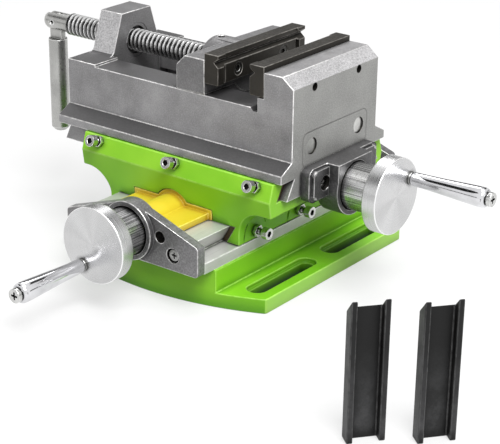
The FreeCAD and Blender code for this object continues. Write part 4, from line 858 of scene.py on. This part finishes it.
# %% The grips
GRIP = [(0, 3.1), (0, 4.3), (0.5, 4.8), (1.5, 5.0), (10, 5.2), (22, 5.65), (34, 6.25), (44, 6.8),
        (51, 7.15), (54.5, 7.2), (57.2, 7.05), (58.4, 6.5), (59.1, 5.5), (59.2, 4.8), (59.2, 3.1)]
GRIP_GAP = 1.5 + 0.3  # the spindle's collar and the play above it
CRANK = 19.5  # from the wheel's axis to the grip's
end_screws = {}
for side, (origin, axis), across, degrees in (
        ("lower", LOWER_RING, Vector((1, 0, 0)), 239),
        ("upper", UPPER_RING, Vector((0, 1, 0)), 26)):
    angle = math.radians(degrees)
    offset = across * math.cos(angle) + Vector((0, 0, 1)) * math.sin(angle)
    centre = Vector(origin) + offset * CRANK + Vector(axis) * (FRONT + GRIP_GAP)
    make_piece(turned(GRIP, centre, axis, 48), side + "_polished_grip", side + "_grip",
               polished_chrome, (side + "_grip",), 40)
    for part, finish, slot in (("spindle", bar_steel, "plain_steel"),
                               ("washer", zinc_steel, FASTENER), ("screw", zinc_steel, FASTENER)):
        node = side + "_grip_" + part
        end_screws[side] = rounded_piece(node, "rounded_" + node, side + "_screw", finish,
                                         BROKEN_EDGE)

# %% [markdown]
# ## Threads
# A thread is one turn of a profile that climbs as it turns. A bump could only suggest it, and
# the outline of a screw seen from the side shows its crests. Spun with a step along the axis,
# the outline of a single pitch becomes the whole helix, because the end of one turn meets the
# start of the next. The ends are then cut square and closed.

# %% Spin a thread
ROUNDED = [(0, 0), (0.15, 0), (0.30, 0.75), (0.40, 1), (0.60, 1), (0.70, 0.75), (0.85, 0), (1, 0)]
SHARP = [(0, 0), (0.46, 1), (0.54, 1), (1, 0)]


def thread(origin, axis, start, end, crest, root, pitch, hand=1, steps=24, profile=ROUNDED):
    """A threaded rod from start to end along the axis; hand is 1 or -1, and steps are per turn."""
    bm = bmesh.new()
    centre = Vector(origin) * MM
    axis = Vector(axis)
    side = axis.orthogonal().normalized()
    turns = math.ceil((end - start) / pitch) + 2
    verts = [bm.verts.new(centre + (axis * (start + (part - 1) * pitch) +
                                    side * (root + (crest - root) * height)) * MM)
             for part, height in profile]
    edges = [bm.edges.new(pair) for pair in zip(verts, verts[1:])]
    bmesh.ops.spin(bm, geom=verts + edges, cent=centre, axis=axis, angle=hand * math.tau * turns,
                   dvec=axis * pitch / steps * MM, steps=steps * turns, use_merge=False)
    bmesh.ops.remove_doubles(bm, verts=bm.verts, dist=1e-5)
    for cut, beyond in ((start, -axis), (end, axis)):
        cut_off(bm, centre + axis * cut * MM, beyond)
    close_cuts(bm)
    bmesh.ops.recalc_face_normals(bm, faces=bm.faces)
    return bm


def join(first, second):
    """Add the second bmesh to the first."""
    mesh = bpy.data.meshes.new("joined")
    second.to_mesh(mesh)
    second.free()
    first.from_mesh(mesh)
    bpy.data.meshes.remove(mesh)
    return first


# %% The clamp screw
PITCH = 4
HUB_END, NOSE_START, OVERLAP = -156, -20.5, 0.5
hub = round_edges(trim(copy_node("clamp_screw"), (HUB_END, 0, 0), (1, 0, 0)), 0.4)
nose = trim(copy_node("clamp_screw"), (NOSE_START, 0, 0), (-1, 0, 0))
helix = thread(*CLAMP_AXIS, HUB_END - OVERLAP, NOSE_START + OVERLAP, 8.5, 6.4, PITCH, steps=32)
helix = join(join(helix, hub), nose)
clamp = make_piece(helix, "threaded_clamp_screw", "clamp_screw", clamp_thread_steel,
                   ("clamp_screw",), 40)
refinish(clamp, bar_steel, lambda at, to: at.x < -156.2)
rounded_piece("clamp_bar", "rounded_clamp_bar", "clamp_bar", bar_steel, 0.5)

# %% The lead screws
LEFT_HAND = -1
for node, line, start, end, body, finish in (
        ("lower_lead_screw", LOWER_AXIS, -107.9, 118.9, "lower_screw", lower_thread_steel),
        ("upper_lead_screw", UPPER_AXIS, -107.9, 92.9, "upper_screw", upper_thread_steel)):
    whole = thread(*line, start, end, 7, 5.6, PITCH, LEFT_HAND)
    along = Vector(line[1])
    for cut, beyond in ((start, along), (end, -along)):
        stub = trim(copy_node(node), along * cut, beyond)
        if stub.faces:
            whole = join(whole, stub)
    make_piece(whole, "threaded_" + node, body, finish, (node,), 40)

# %% [markdown]
# ## Fasteners
# The small screws and nuts keep their CAD form, with the edges broken. The screws of the dark
# jaw plates are blackened too.

# %% Fasteners
SMALL = (("front_bracket_screws", "base", dark_shaded_steel, FASTENER),
         ("rear_bracket_screws", "base", dark_shaded_steel, FASTENER),
         ("upper_bracket_screws", "vise", dark_shaded_steel, FASTENER),
         ("upper_gib_lock_nuts", "saddle", zinc_steel, FASTENER),
         ("lower_gib_lock_nuts", "saddle", zinc_steel, FASTENER),
         ("end_plugs", "vise", plug_steel, "plain_steel"),
         ("fixed_jaw_plate_screws", "vise", black_and_shade_steel, FASTENER),
         ("moving_jaw_plate_screws", "moving_jaw", black_and_shade_steel, FASTENER),
         ("keeper_plate", "moving_jaw", gib_steel, "gib_steel"),
         ("lower_gib", "saddle", oiled_gib_steel, "gib_steel"),
         ("upper_gib", "saddle", oiled_gib_steel, "gib_steel"),
         ("jaw_retaining_pin", "moving_jaw", bar_steel, "plain_steel"),
         ("bar_pin", "clamp_screw", zinc_steel, FASTENER))
small = {node: rounded_piece(node, "rounded_" + node, body, finish, BROKEN_EDGE)
         for node, body, finish, slot in SMALL}

# %% [markdown]
# A cross recess lies in its own shade, so its walls and floor are made black, as painted shade.
# They are the faces just below the head's top that lie near the screw's axis.


# %% Cross recesses
def paint_recess_shade(piece, axis, top, centres):
    """The recesses open at this top along the axis, 0 for X and 1 for Y, round the centres."""
    def inside(at, to):
        side = Vector((at[1 - axis], at.z))
        aside = min((side - Vector(centre)).length for centre in centres)
        return 0.12 < abs(at[axis] - top) < 1.75 and aside < 2.9

    refinish(piece, black_and_shade_steel, inside)


paint_recess_shade(small["front_bracket_screws"], 1, -115.75, ((-38.5, 39.2), (38.5, 39.2)))
paint_recess_shade(small["upper_bracket_screws"], 0, 100.75, ((-31, 83.2), (19, 83.2)))
paint_recess_shade(end_screws["lower"], 1, -220.6, ((-10.04, 32.29),))
paint_recess_shade(end_screws["upper"], 0, 211.6, ((11.53, 84.55),))

# %% [markdown]
# ## Gib screws
# A gib screw shows its thread between the lock nut and the socket head. The head keeps its CAD
# form, the shank is cut away below it, and a fine thread is spun in its place. The upper three
# stand square to the saddle's leaning end face.

# %% Gib screws
lean = math.atan2(4, 12.7)
upper_way = Vector((0, -math.cos(lean), math.sin(lean)))
upper_tips = [Vector((x, -63.25, 82.78)) for x in (-68.8, 3.2, 75.2)]
lower_tips = [Vector((53.8, y, 43.25)) for y in (-52.5, -1, 50.5)]
for node, way, tips, shank in (("upper_gib_screws", upper_way, upper_tips, 16),
                               ("lower_gib_screws", Vector((1, 0, 0)), lower_tips, 14)):
    heads = round_edges(trim(copy_node(node), tips[0] + way * shank, -way), BROKEN_EDGE)
    for tip in tips:
        heads = join(heads, thread(tip, way, 0, shank, 2.5, 2.1, 0.9, steps=16, profile=SHARP))
    screws = make_piece(heads, "threaded_" + node, "saddle", zinc_steel, (node,), 40)

    # painted shade: the walls and floor of each socket are made black
    def in_socket(at, to):
        steps = [(at - tip).dot(way) for tip in tips]
        aside = min((at - tip - way * step).length for tip, step in zip(tips, steps))
        return aside < 2.6 and shank + 2 < steps[0] < shank + 4.7

    refinish(screws, black_and_shade_steel, in_socket)

# %% [markdown]
# ## Nodes that stay as they are
# The lead nuts, their screw and the bolts under the jaw are hidden in every pose, so the CAD
# nodes stay and only their slots get a finish.

# %% Hidden nodes
for node, finish in (("lower_lead_nut", bronze), ("upper_lead_nut", bronze),
                     ("lower_nut_screw", zinc_steel), ("keeper_bolts", zinc_steel)):
    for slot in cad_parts[node].material_slots:
        slot.material = finish
    print(node, "keeps its form, in", finish.name)

# %% [markdown]
# ## Studio
# A pale floor and soft light. The world lights the object at a plain level, but the camera
# and mirror-like metal see it as white. Dark cards that only reflections can see give the
# metal its contrast.


# %% World
def seen_directly(holder):
    """1 for rays of the camera and of reflections, and 0 for the light that objects get."""
    path = add(holder, "LightPath").outputs
    seen = math_of(holder, "MAXIMUM", path["Is Camera Ray"], path["Is Glossy Ray"])
    return math_of(holder, "MAXIMUM", seen, path["Is Transmission Ray"])


WORLD_LIT, WORLD_SEEN = 0.50, 1.0
world = bpy.data.worlds.new("soft_studio")
scene.world = world
world.use_nodes = True
background = world.node_tree.nodes["Background"]
background.inputs["Color"].default_value = grey(1)
wire(world, background.inputs["Strength"],
     spread(world, seen_directly(world), 0, 1, WORLD_LIT, WORLD_SEEN))
print("world strength:", WORLD_LIT, "for objects and", WORLD_SEEN, "when seen")

# %% [markdown]
# The floor is a plain pale sheet. A little light of its own, which only the camera and
# reflections see, lifts it to the white of the photograph and leaves the soft shadow on it.
# Under the base it has none, so nothing glows through the bolt slots.


# %% Floor
def matt_sheet(name, width, height, finish, level, roughness):
    """A flat rectangle of one matt grey, with its material and shader."""
    bm = bmesh.new()
    bmesh.ops.create_grid(bm, x_segments=1, y_segments=1, size=0.5)
    bmesh.ops.scale(bm, vec=(width, height, 1), verts=bm.verts)
    mesh = bpy.data.meshes.new(name)
    bm.to_mesh(mesh)
    bm.free()
    mat, shader = start_material(finish, Specular_IOR_Level=0.0)
    set_finish(mat, shader, grey(level), roughness)
    mesh.materials.append(mat)
    sheet = bpy.data.objects.new(name, mesh)
    scene.collection.objects.link(sheet)
    return sheet, mat, shader


floor, mat, shader = matt_sheet("floor", 12, 12, "floor_white", 0.30, 0.9)
shader.inputs["Emission Color"].default_value = grey(1)
FLOOR_GLOW, UNDER_X, UNDER_Y = 0.58, (86 * MM, 92 * MM), (83 * MM, 88 * MM)
sides = add(mat, "SeparateXYZ", {0: place_of(mat)}).outputs
beside = spread(mat, math_of(mat, "ABSOLUTE", sides["X"]), *UNDER_X)
ahead = spread(mat, math_of(mat, "ABSOLUTE", sides["Y"]), *UNDER_Y)
seen = times(mat, seen_directly(mat), math_of(mat, "MAXIMUM", beside, ahead))
wire(mat, shader.inputs["Emission Strength"], times(mat, seen, FLOOR_GLOW))
print("floor:", tuple(round(side, 2) for side in floor.dimensions), "metres")

# %% [markdown]
# A large soft light from the right front shapes the object, and weaker ones from above and
# behind part its edges from the white. The dark cards stand where the photograph's metal
# turns dark.

# %% Lights and cards
AIM = Vector((0, 0, 0.08))


def soft_light(name, place, size, power):
    lamp = bpy.data.lights.new(name, "AREA")
    lamp.shape = "DISK"
    lamp.size = size
    lamp.energy = power
    holder = bpy.data.objects.new(name, lamp)
    holder.location = place
    holder.rotation_euler = (AIM - Vector(place)).to_track_quat("-Z", "Y").to_euler()
    scene.collection.objects.link(holder)


soft_light("key", (1.06, -0.66, 1.7), 1.3, 47)
soft_light("overhead", (0.15, 0.25, 2.2), 1.0, 15)
soft_light("rim", (-0.9, 0.9, 1.3), 0.8, 6)


def dark_card(name, direction, distance, width, height, shade=0.03):
    """A card that only glossy rays see, square to its direction from the object."""
    card = matt_sheet(name, width, height, name + "_black", shade, 1.0)[0]
    card.location = AIM + Vector(direction).normalized() * distance
    card.rotation_euler = (-Vector(direction)).to_track_quat("Z", "Y").to_euler()
    card.visible_camera = False
    card.visible_diffuse = False
    card.visible_shadow = False
    card.visible_transmission = False


dark_card("back_left_card", (-0.57, 0.72, 0.40), 1.5, 1.7, 0.9, 0.3)
dark_card("high_left_card", (-0.57, -0.42, 0.70), 1.5, 1.0, 0.7)
dark_card("high_back_card", (0.05, 0.73, 0.67), 1.6, 0.6, 0.6, 0.06)
dark_card("back_right_strip", (0.64, 0.74, 0.16), 1.6, 1.3, 0.22, 0.1)
dark_card("front_left_strip", (-0.60, -0.75, 0.06), 1.6, 1.3, 0.16)

# %% [markdown]
# ## Colour
# The plain Standard view keeps white white, and the lime at its full strength.

# %% Colour management
scene.view_settings.view_transform = "Standard"
print("view transform:", scene.view_settings.view_transform)
